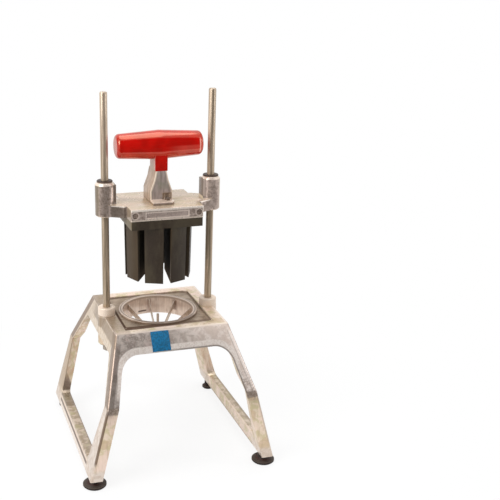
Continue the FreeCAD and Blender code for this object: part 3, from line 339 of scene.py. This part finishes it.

# table rims: painted highlights all round, and a dark line of painted shadow where the
# blade frame's recess begins
RECESS = 58.0
on_table = up.step(TABLE_TOP - 1.0, TABLE_TOP - 0.3)
rim = on_table * (from_side.below(2.2, 0.8) + from_front.below(3.2, 0.8)).at_most(1.0)
base.paint(rim * 0.85, tone(240, 224, 210))
table_left = on_table * base.x.below(-56, 4) * (base.brushed * 0.6 + 0.6)
table_left = table_left * (base.y.step(-78, -40) * 0.55 + 0.4)
base.paint(table_left, tone(146, 126, 104))
past_recess = (across - RECESS).at_least((-1 * base.y - RECESS) * 0.3)
line_width = base.x.below(-40, 40) * 0.3 + 0.4
recess_shadow = past_recess.step(-1.1, -0.6) * (past_recess - line_width).below(0.0, 0.5)
recess_shadow = recess_shadow * up.step(177, 178) * base.y.below(57, 0.5)
recess_shadow = recess_shadow * (base.x.below(0, 30) * 0.7 + 0.3)
base.paint(recess_shadow, tone(92, 68, 50))

# runners: on the left one, painted shade and a painted highlight run along the wall's rounded
# top, the wall below is painted paler as painted light, then the worn tread
RUNNER_TOP, RUNNER_END = 28.0, 92.0
on_runner = up.below(RUNNER_TOP + 1.5, 0.8) * along.below(RUNNER_END, 4)
round_edge = up.step(25.4, 26.2)
tread = base.blend(base.clouds, tone(206, 188, 170), tone(164, 146, 124))
tread = base.blend(base.drift.step(0.5, 0.6) * 0.6, tread, tone(176, 166, 128))
base.paint(on_runner * base.face_z.step(0.5, 0.8) * 0.9, tread)
wall_left = on_runner * left * base.y.below(90, 3)
rounding_shade, rounding_highlight = up.within(18.8, 21.8, 0.6), up.within(22.8, 24.4, 0.5)
base.paint(wall_left * round_edge * 0.9, tread)
base.paint(wall_left * rounding_shade * 0.9, tone(98, 76, 62))
base.paint(wall_left * rounding_highlight * 0.85, tone(228, 206, 186))
base.paint(wall_left * up.below(17.6, 0.6) * 0.6, tone(242, 230, 220))

# the runners' other edges, painted as lines of highlight and shade, darker low on the right
# runner, and a painted highlight at the joint where the back legs stand on them
inner_edge = on_runner * up.step(26.5, 27.2)
dark_edge = inner_edge * left * across.below(106.6, 0.6)
base.paint(dark_edge * 0.6, tone(130, 112, 104))
right_runner = on_runner * (1 - left)
bright_edge = inner_edge * (1 - left) * across.below(107.2, 0.8)
base.paint(bright_edge * 0.6, tone(236, 216, 200))
outer_edge = right_runner * up.step(27, 27.6) * from_side.below(2.2, 1.0)
base.paint(outer_edge * 0.6, tone(140, 122, 98))
foot_edge = right_runner * up.below(14.2, 1.2)
base.paint(foot_edge * 0.5, tone(160, 136, 116))
front_or_top = (base.face_y.below(-0.3, 0.3) + base.face_z.step(0.3, 0.6)).at_most(1.0)
joint = up.within(29.0, 31.6, 0.6) * base.y.step(82, 86) * front_or_top
joint_tone = base.blend(left, tone(216, 198, 174), tone(238, 220, 198))
base.paint(joint * 0.9, joint_tone)
tread_back = on_runner * base.y.within(52, RUNNER_END, 6) * far_left * round_edge
base.paint(tread_back * 0.7, tone(126, 110, 92))

# back legs: the right one is paler, both have brown streaks, and a wedge of painted shade
# starts low on the left one
leg_front = base.face_y.below(-0.5, 0.3)
streaky = base.y.step(60, 70) * leg_front * up.step(34, 44)
base.paint(streaky * right * 0.6, tone(250, 226, 204))
base.paint(streaky * base.brushed.step(0.47, 0.6) * 0.5, tone(210, 172, 142))
taper = (up - 32.0) * 0.28
wedge = from_side.within(1.0, 20.0, 1.0) * (across - 101.0 - taper).step(-1.5, 1.0)
wedge = wedge * up.step(29, 32) * up.below(40, 24) * base.y.step(84, 88)
wedge = wedge * far_left * leg_front
base.paint(wedge * (base.speck * 0.6 + 0.55), tone(120, 101, 90))

# under the table the faces that look down are painted darker
inside = base.face_z.below(-0.75, 0.25) * up.step(130, 140)
base.paint(inside * 0.7, tone(140, 126, 112))
# the recess's painted shadow also makes the metal there matte
base_aluminium = base.settle(dirt_and_shade=recess_shadow)
dressed("base_casting", 1.0 * MM, "base", base_aluminium)

# ---- guide rods ----
# Two ground steel bars, shouldered below the table and clamped from underneath. Years of
# wiping have left them brown and satin, with fine scratches along their length.

rod = Finish("rod_steel")
scratch = rod.noise(0.9, 4, 0.6, (1, 1, 0.012))
scratches = scratch.step(0.42, 0.62)
rod.colour = rod.blend(scratches, tone(192, 172, 148), tone(130, 115, 94))
# higher up the rods are painted paler, the left one more than the right: painted light
paler = rod.blend(scratches, tone(214, 194, 172), tone(156, 138, 118))
rod.paint(rod.z.step(330, 420) * (rod.x.below(-20, 40) * 0.5 + 0.5), paler)
rod.set(Base_Color=rod.colour, Metallic=0.5, Roughness=scratch * 0.15 + 0.24)
for side in ("left", "right"):
    dressed("guide_rod_" + side, 0.3 * MM, "base", rod.material)

# ---- stop collars and their set screws ----
# Turned aluminium rings that stand on the table round the rods and stop the carriage. A
# cup-point screw at the back of each one bites on the rod.


def plain_metal(name, light, dark, rough, stretch=(1, 1, 1), metal=0.9):
    """Bare metal, streaked or cloudy between two tones."""
    finish = Finish(name)
    streak = finish.noise(0.9, 4, 0.6, stretch)
    cloud = finish.noise(0.05, 3, 0.5, shift=(11, 5, 3))
    worn = (streak * 0.7 + cloud * 0.4).step(0.42, 0.68)
    colour = finish.blend(worn, light, dark)
    finish.set(Base_Color=colour, Metallic=metal, Roughness=worn * 0.14 + rough)
    finish.bump(streak, 0.06 * MM, 0.35)
    return finish.material


collar_metal = plain_metal(
    "collar_metal", tone(244, 227, 210), tone(222, 202, 182), 0.4, (1, 1, 6), 0.2)
fastener_steel = plain_metal("fastener_steel", tone(184, 172, 160), tone(128, 114, 102), 0.3)
for side in ("left", "right"):
    dressed("rod_collar_" + side, 0.5 * MM, "base", collar_metal)
dressed("collar_set_screws", 0.2 * MM, "base", fastener_steel)

# ---- washers, nuts, studs and frame screws under the table ----
# Zinc-plated standard parts: they clamp the rods and the blade frame from below and hold
# the rubber feet.

for node in ("rod_washers", "rod_nuts", "foot_studs", "blade_frame_screws"):
    dressed(node, 0.2 * MM, "base", fastener_steel)

# ---- blade frame ----
# A stainless plate that drops into the recess of the table. Juice and crumbs have dulled
# it. A dark border of painted shadow runs round it, darkest on the left.

PLATE_HALF = 57.2
plate = Finish("frame_steel")
smear = plate.noise(0.09, 5, 0.6, twist=0.4)
pits = plate.noise(0.6, 3, 0.6)
plate.colour = plate.blend(smear.step(0.38, 0.62), tone(166, 146, 124), tone(134, 114, 94))
plate.paint(pits.step(0.55, 0.7) * 0.5, tone(168, 150, 134))
from_border = (PLATE_HALF + 0.5 - plate.x.size()).at_most((PLATE_HALF + plate.y) * 0.3)
from_border = from_border.at_most(PLATE_HALF - plate.y)
plate_border_shadow = from_border.below(2.5, 0.7) * (plate.x.below(0, 40) * 0.45 + 0.45)
plate.paint(plate_border_shadow, tone(72, 46, 30))
plate.set(
    Base_Color=plate.colour, Metallic=0.6 - plate_border_shadow * 0.6,
    Roughness=smear * 0.2 + 0.3 + plate_border_shadow * 0.5)
plate.bump(smear * 0.6 + pits * 0.4, 0.2 * MM, 0.3)
dressed("blade_frame", 0.3 * MM, "base", plate.material)

# ---- blade ring ----
# Rolled stainless strip, welded into the plate. Its upper edge is curled outwards to a
# bead, so an apple doesn't meet a sharp edge.

ring = Finish("ring_steel")
radius = distance(ring.x, ring.y)
curl = ring.noise(0.5, 3, 0.6, (1, 1, 0.1))
haze = ring.noise(0.06, 3, 0.5)
hazy = (curl * 0.6 + haze * 0.5).step(0.42, 0.68)
ring.colour = ring.blend(hazy, tone(236, 216, 200), tone(204, 180, 162))

# darker brown marks at two blade roots at the back, and a dark line left of the middle one
behind = ring.y.step(20, 26)
root = (ring.x - 33.0).size().below(1.6, 1.2) * behind * ring.z.within(166, 178, 2)
ring.paint(root * 0.75, tone(128, 100, 84))
middle_root = ring.x.size().below(2.0, 2.0) * behind * ring.z.within(160, 178, 2)
ring.paint(middle_root * 0.5, tone(140, 108, 98))
ring_dark_line = ring.x.within(-15, -4, 1.0) * behind * ring.z.within(161.4, 163.2, 0.5)
ring.paint(ring_dark_line * 0.9, tone(72, 48, 38))

# the bead: painted darker, with two painted highlights and painted shade between them,
# and more painted shade all over in front
on_bead = ring.z.step(179.5, 180.3)
ring.paint(on_bead * 0.8, tone(176, 154, 136))
ring.paint(on_bead * radius.within(50.8, 51.5, 0.4) * 0.8, tone(224, 208, 194))
ring.paint(on_bead * radius.within(49.0, 50.0, 0.5) * 0.7, tone(122, 102, 86))
ring.paint(on_bead * radius.within(47.0, 48.0, 0.4) * 0.7, tone(222, 206, 192))
ring.paint(on_bead * ring.y.below(-36, 10) * 0.75, tone(112, 92, 76))
ring.set(Base_Color=ring.colour, Metallic=0.35, Roughness=curl * 0.2 + 0.22)
ring.bump(curl, 0.1 * MM, 0.3)
dressed("blade_ring", 0.2 * MM, "base", ring.material)

# ---- blades and hub pin ----
# Eight thin ground blades slope down from the ring to one pin in the middle. They are
# brighter than the plate because each sharpening polishes them.

BLADES = 8
blade_steel = plain_metal(
    "blade_steel", tone(224, 208, 192), tone(172, 152, 134), 0.22, (1, 1, 0.2), 0.45)
for number in range(1, BLADES + 1):
    dressed(f"slicing_blade_{number:02d}", 0.12 * MM, "base", blade_steel)
dressed("blade_hub", 0.2 * MM, "base", blade_steel)

# ---- size label ----
# A blue vinyl patch, stuck over the front arris of the table and left blank. It follows
# the apron, and the grain of the casting shows through it.

label = Finish("label_film")
print_grain = label.noise(0.5, 3, 0.6)
label_wave = label.noise(0.09, 3, 0.5)
label.colour = label.blend(print_grain.step(0.38, 0.62), tone(8, 104, 150), tone(14, 80, 112))
label.paint(label_wave.step(0.5, 0.65) * 0.4, tone(30, 112, 148))
label.set(Base_Color=label.colour, Roughness=print_grain * 0.15 + 0.4, Specular_IOR_Level=0.3)
label.bump(print_grain, 0.2 * MM, 0.3)
dressed("size_label", 0.05 * MM, "base", label.material)

# ---- feet ----
# Four moulded rubber discs on necks, each held by its stud. The rubber is black-brown,
# with a painted highlight round its rim, and it is worn redder round the neck.

rubber = Finish("foot_rubber")
dust = rubber.noise(0.3, 4, 0.6)
rubber.colour = rubber.blend(dust.step(0.4, 0.62), tone(30, 21, 17), tone(46, 33, 27))
rim_highlight = rubber.z.within(3.2, 4.5, 0.5) * rubber.face_z.below(0.85, 0.1)
rubber.paint(rim_highlight * 0.4, tone(96, 84, 74))
worn_neck = rubber.face_z.step(0.6, 0.9) * rubber.z.step(4.7, 5.0)
rubber.paint(worn_neck * 0.7, tone(84, 38, 28))
rubber.set(Base_Color=rubber.colour, Roughness=dust * 0.25 + 0.45, Specular_IOR_Level=0.3)
rubber.bump(dust, 0.2 * MM, 0.4)
for corner in ("front_left", "front_right", "back_left", "back_right"):
    dressed("foot_" + corner, 0, "base", rubber.material)

# ---- carriage casting ----
# A square deck with a sleeve on an arm at each side, one aluminium casting. The top of
# the deck is polished, and its front face has a shallow blank panel.

DECK_FRONT, DECK_TOP, DECK_BOTTOM, SLEEVE_AT = 43.5, 331.7, 317.0, 69.5
deck = CastFinish("carriage_aluminium")
off_middle = deck.x.size()
deck.paint(deck.face_z.step(0.5, 0.8) * 0.6, tone(194, 175, 150))
# the front faces are painted grey, a painted reflection of dark surroundings; the arms are
# painted darker, most on the left, as painted shade
grey = deck.blend(deck.speck.step(0.4, 0.6), tone(190, 172, 162), tone(148, 131, 120))
grey = deck.blend(deck.cloud.step(0.45, 0.65) * 0.6, grey, tone(212, 194, 184))
arm = off_middle.within(48.5, 64.0, 2.5) * deck.z.below(331.0, 0.5)
grey = deck.blend(arm * (deck.x.below(-20, 20) * 0.6 + 0.15), grey, tone(108, 96, 84))
deck.paint(deck.front, grey)

# the front of the deck: painted highlights on its edges above and below, and the shallow
# panel with a painted highlight round it
PANEL_HALF, PANEL_TALL, PANEL_Z = 27.5, 3.6, 323.6
EDGE_HIGHLIGHT = tone(252, 240, 228)
on_front = (deck.y + DECK_FRONT).below(0.8, 0.5)
top_edge = deck.z.step(DECK_TOP - 2.7, DECK_TOP - 1.9)
deck.paint(on_front * top_edge * 0.95, EDGE_HIGHLIGHT)
deck.paint(on_front * deck.z.below(DECK_BOTTOM + 1.6, 0.5) * 0.8, tone(232, 216, 200))
panel_edge = (off_middle - PANEL_HALF).at_least((deck.z - PANEL_Z).size() - PANEL_TALL)
deck.paint(on_front * panel_edge.below(-0.8, 0.6) * 0.45, tone(188, 170, 162))
deck.paint(on_front * panel_edge.size().below(0.6, 0.5) * 0.9, tone(236, 220, 208))

# the deck's left side is painted darker; painted highlights on its right end and on the arms'
# upper edges
deck_side = deck.x.within(-47.5, -46.0, 0.5) * deck.face_x.below(-0.85, 0.1)
deck.paint(deck_side * 0.85, tone(152, 134, 114))
deck_end = deck.x.step(45.2, 45.9) * deck.y.below(-40, 1)
deck.paint(deck_end * 0.8, EDGE_HIGHLIGHT)
arm_edge = off_middle.within(49, 64, 2) * deck.z.within(330.6, 331.8, 0.4)
deck.paint(arm_edge * deck.face_z.below(0.97, 0.02) * 0.8, EDGE_HIGHLIGHT)

# a pale ring round each lock screw in front is a painted highlight
SCREW_X, SCREW_Z = 41.0, 324.2
screw_highlight = distance(off_middle - SCREW_X, deck.z - SCREW_Z).within(3.7, 4.7, 0.5)
deck.paint(on_front * screw_highlight * 0.7, tone(230, 212, 200))

# sleeves: painted highlights on the arrises at both ends, brown where the square web meets the
# round, with painted shade on the web's faces to the left and a painted highlight on its
# front on the right
sleeve_x = off_middle - SLEEVE_AT
sleeve_radius = distance(sleeve_x, deck.y)
on_sleeve = sleeve_radius.below(13.2, 0.5)
deck.paint(on_sleeve * deck.z.step(355.4, 356.2) * 0.7, tone(238, 222, 208))
deck.paint(on_sleeve * deck.z.below(317.0, 0.6) * 0.7, tone(214, 196, 178))
beyond_round = (sleeve_radius.step(12.2, 12.8) + sleeve_x.below(-11.4, 0.4)).at_most(1.0)
web = deck.z.step(334, 335) * beyond_round
deck.paint(web * 0.8, tone(128, 110, 96))
deck.paint(web * deck.face_x.below(-0.6, 0.2) * 0.7, tone(96, 78, 64))
web_front = web * deck.x.step(-20, 20) * deck.face_y.below(-0.6, 0.2)
deck.paint(web_front * 0.8, tone(230, 210, 198))

# the left sleeve is painted dark as painted shade, darkest on its left side, with a painted
# highlight where it meets its web
on_left = deck.x.below(-40, 10)
left_sleeve = on_sleeve * on_left * deck.z.below(355, 0.5) * deck.face_z.size().below(0.4, 0.2)
sleeve_shade = deck.blend(deck.speck.step(0.42, 0.6), tone(142, 127, 116), tone(108, 94, 84))
deck.paint(left_sleeve * 0.6, sleeve_shade)
deck.paint(left_sleeve * deck.face_x.below(-0.85, 0.1) * 0.6, tone(96, 82, 72))
sleeve_highlight = on_left * sleeve_x.within(-8.6, -6.4, 0.8) * deck.z.within(337, 352, 3)
deck.paint(sleeve_highlight * deck.y.below(-6, 1) * 0.8, tone(246, 228, 218))
carriage_aluminium = deck.settle(0.24)
dressed("carriage_casting", 0.8 * MM, "carriage", carriage_aluminium)

# ---- bushings ----
# Turned black nylon, pressed into both ends of each sleeve. Fine turning rings show on
# the flanges.

nylon = Finish("bushing_plastic")
turned = nylon.noise(0.9, 2, 0.5, (0.02, 0.02, 1))
nylon.colour = nylon.blend(turned.step(0.4, 0.6), tone(46, 29, 22), tone(80, 62, 50))
nylon.paint(nylon.z.within(359.0, 359.5, 0.3) * 0.6, tone(150, 132, 116))
nylon.set(Base_Color=nylon.colour, Roughness=turned * 0.2 + 0.35, Specular_IOR_Level=0.3)
nylon.bump(turned, 0.2 * MM, 0.4)
for end in ("upper_left", "upper_right", "lower_left", "lower_right"):
    dressed("bushing_" + end, 0.3 * MM, "carriage", nylon.material)

# ---- pusher head ----
# One black-brown moulding: a flange and eight fingers that pass between the blades. The
# faces of the fingers and the flange's end that look left are painted lighter as painted
# light, and the slots are painted near black as painted shade.

FLANGE_UNDER, CORE_RADIUS = 304, 38.5
pusher = Finish("pusher_plastic")
rubbed = pusher.noise(0.06, 4, 0.6, (1, 1, 0.35))
moulded = pusher.noise(0.8, 3, 0.6)
pusher.colour = pusher.blend(rubbed.step(0.38, 0.62), tone(54, 45, 37), tone(68, 60, 48))
pusher.paint(moulded.step(0.5, 0.7) * 0.4, tone(74, 65, 52))
# painted light on the faces that look left, painted shade in the slots
on_fingers = pusher.z.below(FLANGE_UNDER, 1.5)
faces_left = pusher.face_x.below(-0.75, 0.3)
pusher.paint(faces_left * on_fingers * 0.6, tone(80, 64, 44))
in_slot = distance(pusher.x, pusher.y).below(CORE_RADIUS, 1.5) * on_fingers
pusher.paint(in_slot * pusher.z.step(238, 262) * 0.85, tone(20, 19, 13))
flange_end = pusher.z.step(FLANGE_UNDER + 1, FLANGE_UNDER + 2) * faces_left
pusher.paint(flange_end * 0.6, tone(136, 122, 98))
pusher.set(
    Base_Color=pusher.colour, Roughness=moulded * 0.16 + 0.36 + in_slot * 0.45,
    Specular_IOR_Level=0.15)
pusher.bump(moulded * 0.5 + rubbed * 0.5, 0.2 * MM, 0.35)
dressed("pusher_head", 0.8 * MM, "carriage", pusher.material)

# ---- screws of the carriage ----
# Four lock screws hold the pusher's lugs and one cap screw holds the post, all blackened
# and worn paler. A long plated bolt runs up through the post into the grip.

dark_steel = plain_metal("dark_steel", tone(150, 132, 120), tone(96, 82, 72), 0.3, metal=0.5)


def socketed(node, body, material, points_at, rim, depth):
    """Screws with a round drive in each head that faces one way, a rim left round it."""
    shape = copy_of(node)
    soften(shape, 0.3 * MM)
    way = Vector(points_at)
    heads = [face for face in shape.faces if face.normal.dot(way) > 0.99 and len(face.verts) > 12]
    for width, sink in ((rim, 0), (0.1 * MM, depth)):
        bmesh.ops.inset_individual(
            shape, faces=heads, thickness=width, depth=-sink, use_even_offset=True)
    finish_piece(shape, node, body, material)


socketed("pusher_lock_screws", "carriage", dark_steel,
         points_at=(0, -1, 0), rim=1.4 * MM, depth=0.5 * MM)
socketed("post_screw", "carriage", dark_steel,
         points_at=(0, 0, 1), rim=1.4 * MM, depth=1.2 * MM)
dressed("handle_draw_bolt", 0.3 * MM, "carriage", fastener_steel)

# ---- handle post ----
# An aluminium casting bolted to the deck: a tapered post with a ledge in front, cut away
# round its screw. Its front is painted grey, a painted reflection of dark surroundings, its
# sides are brown, and its top is reddened by a painted reflection of the grip.

post = CastFinish("post_aluminium")
sanded = post.noise(0.4, 4, 0.6, (1, 1, 0.12))
flank = post.blend(sanded.step(0.4, 0.65), tone(194, 170, 148), tone(162, 137, 114))
post.paint(post.face_x.size().step(0.5, 0.8), flank)
face = post.blend(sanded.step(0.4, 0.62), tone(192, 176, 170), tone(164, 148, 140))
greenish = post.z.within(352, 364, 5) * post.cloud.step(0.44, 0.6)
face = post.blend(greenish * 0.5, face, tone(158, 156, 136))
post.paint(post.front, face)
# a painted reflection of the red grip on the top of the post
post.paint(post.z.step(372, 382) * 0.45, tone(190, 128, 120))

# painted highlights on the arrises at both sides of the front and on the ledge's top, and
# painted shade on the ledge's front
NECK, POST_TOP, POST_WIDEST = 360.0, 371.8, 14.3
under_neck, over_neck = (NECK - post.z).at_least(0.0), post.z.at_least(NECK)
post_half = under_neck * 0.364 + (POST_TOP - over_neck) * 0.203 + 6.8
post_half = post_half.at_most(POST_WIDEST)
arris = (post_half - post.x.size()).below(1.5, 0.7) * post.y.below(-13.2, 0.8)
post.paint(arris * post.z.step(335, 336) * 0.9, tone(246, 228, 208))
ledge_top = post.z.within(334.4, 336, 0.5) * post.y.below(-14.6, 0.5)
post.paint(ledge_top * 0.7, tone(232, 214, 200))
ledge_front = post.z.below(334.0, 0.6) * post.y.below(-27.5, 1.0)
post.paint(ledge_front * 0.6, tone(122, 106, 94))

# the pocket that is cut for the screw's head, painted paler inside as painted light against
# its shade
POCKET_X, POCKET_Y, POCKET_RADIUS = 7.2, -17.2, 6.2
from_screw = distance(post.x - POCKET_X, post.y - POCKET_Y)
in_pocket = from_screw.below(POCKET_RADIUS + 0.3, 0.5) * post.z.within(335.8, 343.8, 0.4)
post.paint(in_pocket * 0.95, tone(176, 154, 134))
post_aluminium = post.settle(0.28)
dressed("handle_post", 0.9 * MM, "carriage", post_aluminium)

# ---- grip ----
# A red moulded T-grip, thicker in the middle, with a flat tongue that runs down over the
# front of the post. The plastic is glossy, with the faint waves of a thick moulding.

END_BEND = 50.5
grip = Finish("grip_plastic")
wave = grip.noise(0.05, 3, 0.5)
dirt_and_shade = grip.noise(0.5, 3, 0.6)
grip.colour = grip.blend(wave.step(0.4, 0.62), tone(186, 12, 8), tone(168, 8, 5))
grip.paint(dirt_and_shade.step(0.55, 0.7) * 0.3, tone(146, 10, 6))

# in front, a painted reflection in a band on the right, and a painted highlight at the bend
# of that end
in_front = grip.y.below(-8, 3)
grip_sheen = grip.x.step(4, 30) * grip.z.within(397.5, 401.5, 3) * in_front
grip.paint(grip_sheen * 0.35, tone(226, 96, 84))
end_highlight = grip.x.within(END_BEND - 0.7, END_BEND + 0.3, 0.6) * grip.z.within(396, 408, 5)
grip.paint(end_highlight * in_front * 0.8, tone(252, 190, 178))
grip.set(
    Base_Color=grip.colour, Roughness=wave * 0.1 + 0.07,
    Coat_Weight=0.35, Coat_Roughness=0.05, Coat_Tint=tone(255, 232, 210),
    Specular_IOR_Level=1.0, Specular_Tint=tone(255, 204, 160))
grip.bump(wave * 0.8 + dirt_and_shade * 0.2, 0.3 * MM, 0.25)
dressed("handle_grip", 0.8 * MM, "carriage", grip.material)

# ---- threaded insert ----
# A brass bush moulded into the grip, which the draw bolt pulls on. It is out of sight and
# stays bright.

insert_brass = plain_metal("insert_brass", tone(206, 168, 98), tone(164, 126, 66), 0.3)
dressed("grip_insert", 0.2 * MM, "carriage", insert_brass)

# ---- floor ----
# A sheet of white paper. It is white for the lens and in reflections, and keeps a soft
# shadow round the feet.


def seen_directly(pattern):
    """1 for the lens and in glossy or clear reflections, 0 for the light cast on things."""
    path = pattern.node("ShaderNodeLightPath", {}, out="Is Camera Ray")
    rays = path.output.node.outputs
    for name in ("Is Glossy Ray", "Is Transmission Ray"):
        path = path.at_least(Socket(pattern, rays[name]))
    return path


FLOOR_HALF = 6.0
sheet = bmesh.new()
bmesh.ops.create_grid(sheet, x_segments=1, y_segments=1, size=FLOOR_HALF)
paper = Finish("floor_paper")
paper.set(Base_Color=(0.9, 0.9, 0.9, 1.0), Roughness=1.0)
white_share = distance(paper.x, paper.y).step(150, 450) * 0.16 + 0.84
glow = paper.node("ShaderNodeEmission", {}, (1, 1, 1, 1), 1.0)
lit_paper = Socket(paper, paper.shader.outputs[0])
mixed = paper.node(
    "ShaderNodeMixShader", {}, seen_directly(paper) * white_share, lit_paper, glow)
paper.feed(paper.tree.nodes["Material Output"].inputs["Surface"], mixed)
add_object(sheet, "floor", paper.material)

# ---- dark card ----
# Black felt from the floor in front of the press up behind the lens. Only reflections see
# it: it gives the metal and the red grip their depth.

CARD_HALF, CARD_NEAR, CARD_FAR, CARD_LOW, CARD_HIGH = 1.5, -0.36, -1.7, 0.002, 3.8
felt_shape = bmesh.new()
profile = [(CARD_NEAR, CARD_LOW), (CARD_FAR, CARD_LOW), (CARD_FAR, CARD_HIGH)]
corners = [felt_shape.verts.new((-CARD_HALF, y, z)) for y, z in profile]
edges = [felt_shape.edges.new(pair) for pair in zip(corners, corners[1:])]
moved = bmesh.ops.extrude_edge_only(felt_shape, edges=edges)["geom"]
moved = [item for item in moved if isinstance(item, bmesh.types.BMVert)]
bmesh.ops.translate(felt_shape, verts=moved, vec=(2 * CARD_HALF, 0, 0))
felt = Finish("card_felt")
felt.set(Base_Color=(0.03, 0.028, 0.026, 1.0), Roughness=1.0)
card = add_object(felt_shape, "dark_card", felt.material)
card.visible_camera = False
card.visible_diffuse = False
card.visible_shadow = False

# ---- world and lamps ----
# A white room, dimmer for the light it sheds than for the lens and for reflections. Three
# softboxes, on the left, on the right and overhead, light the press evenly.

world = bpy.data.worlds.new("studio")
bpy.context.scene.world = world
world.use_nodes = True
room = Pattern(world.node_tree)
backdrop = room.tree.nodes["Background"]
room.feed(backdrop.inputs["Color"], (1, 1, 1, 1))
room.feed(backdrop.inputs["Strength"], seen_directly(room) * 0.4 + 0.6)


def softbox(name, place, target, size, power):
    """A square-cornered lamp at a place, aimed at a target."""
    light = bpy.data.lights.new(name, "AREA")
    light.shape = "RECTANGLE"
    light.size, light.size_y = size
    light.energy = power
    lamp = bpy.data.objects.new(name, light)
    aim = Vector(target) - Vector(place)
    turned_to = aim.to_track_quat("-Z", "Y").to_matrix().to_4x4()
    lamp.matrix_world = Matrix.Translation(place) @ turned_to
    bpy.context.scene.collection.objects.link(lamp)


softbox("key", (-1.1, -0.5, 1.2), (0, 0, 0.25), (0.8, 0.8), 14)
softbox("side", (1.3, -0.6, 0.75), (0, 0, 0.4), (0.12, 0.7), 2.5)
softbox("top", (0.1, 0.2, 1.6), (0, 0, 0.2), (1.0, 1.0), 9)

# ---- camera ----
# A long lens, a little to the left of the press and above it. The press stands left of
# the middle of the frame, so the lens is shifted.

VIEW_AZIMUTH = math.radians(-16.253)
VIEW_RISE = math.radians(19.738)
VIEW_ROLL = math.radians(0.469)
VIEW_DISTANCE = 1.20383
VIEW_TARGET = Vector((0.01245, 0.0, 0.225276))
FRAME_PIXELS = 500
FOCAL_PIXELS = 913.964
AXIS_PIXEL = (167.052, 277.227)
turn = Matrix.Rotation(VIEW_AZIMUTH, 4, "Z") @ Matrix.Rotation(math.pi / 2 - VIEW_RISE, 4, "X")
turn = turn @ Matrix.Rotation(VIEW_ROLL, 4, "Z")
back = turn.to_3x3() @ Vector((0, 0, 1))
lens = bpy.data.cameras.new("camera")
lens.sensor_width = 36.0
lens.lens = FOCAL_PIXELS / FRAME_PIXELS * lens.sensor_width
lens.shift_x = 0.5 - AXIS_PIXEL[0] / FRAME_PIXELS
lens.shift_y = AXIS_PIXEL[1] / FRAME_PIXELS - 0.5
camera = bpy.data.objects.new("camera", lens)
camera.matrix_world = Matrix.Translation(VIEW_TARGET + VIEW_DISTANCE * back) @ turn
bpy.context.scene.collection.objects.link(camera)
bpy.context.scene.camera = camera
bpy.context.scene.view_settings.view_transform = "Standard"
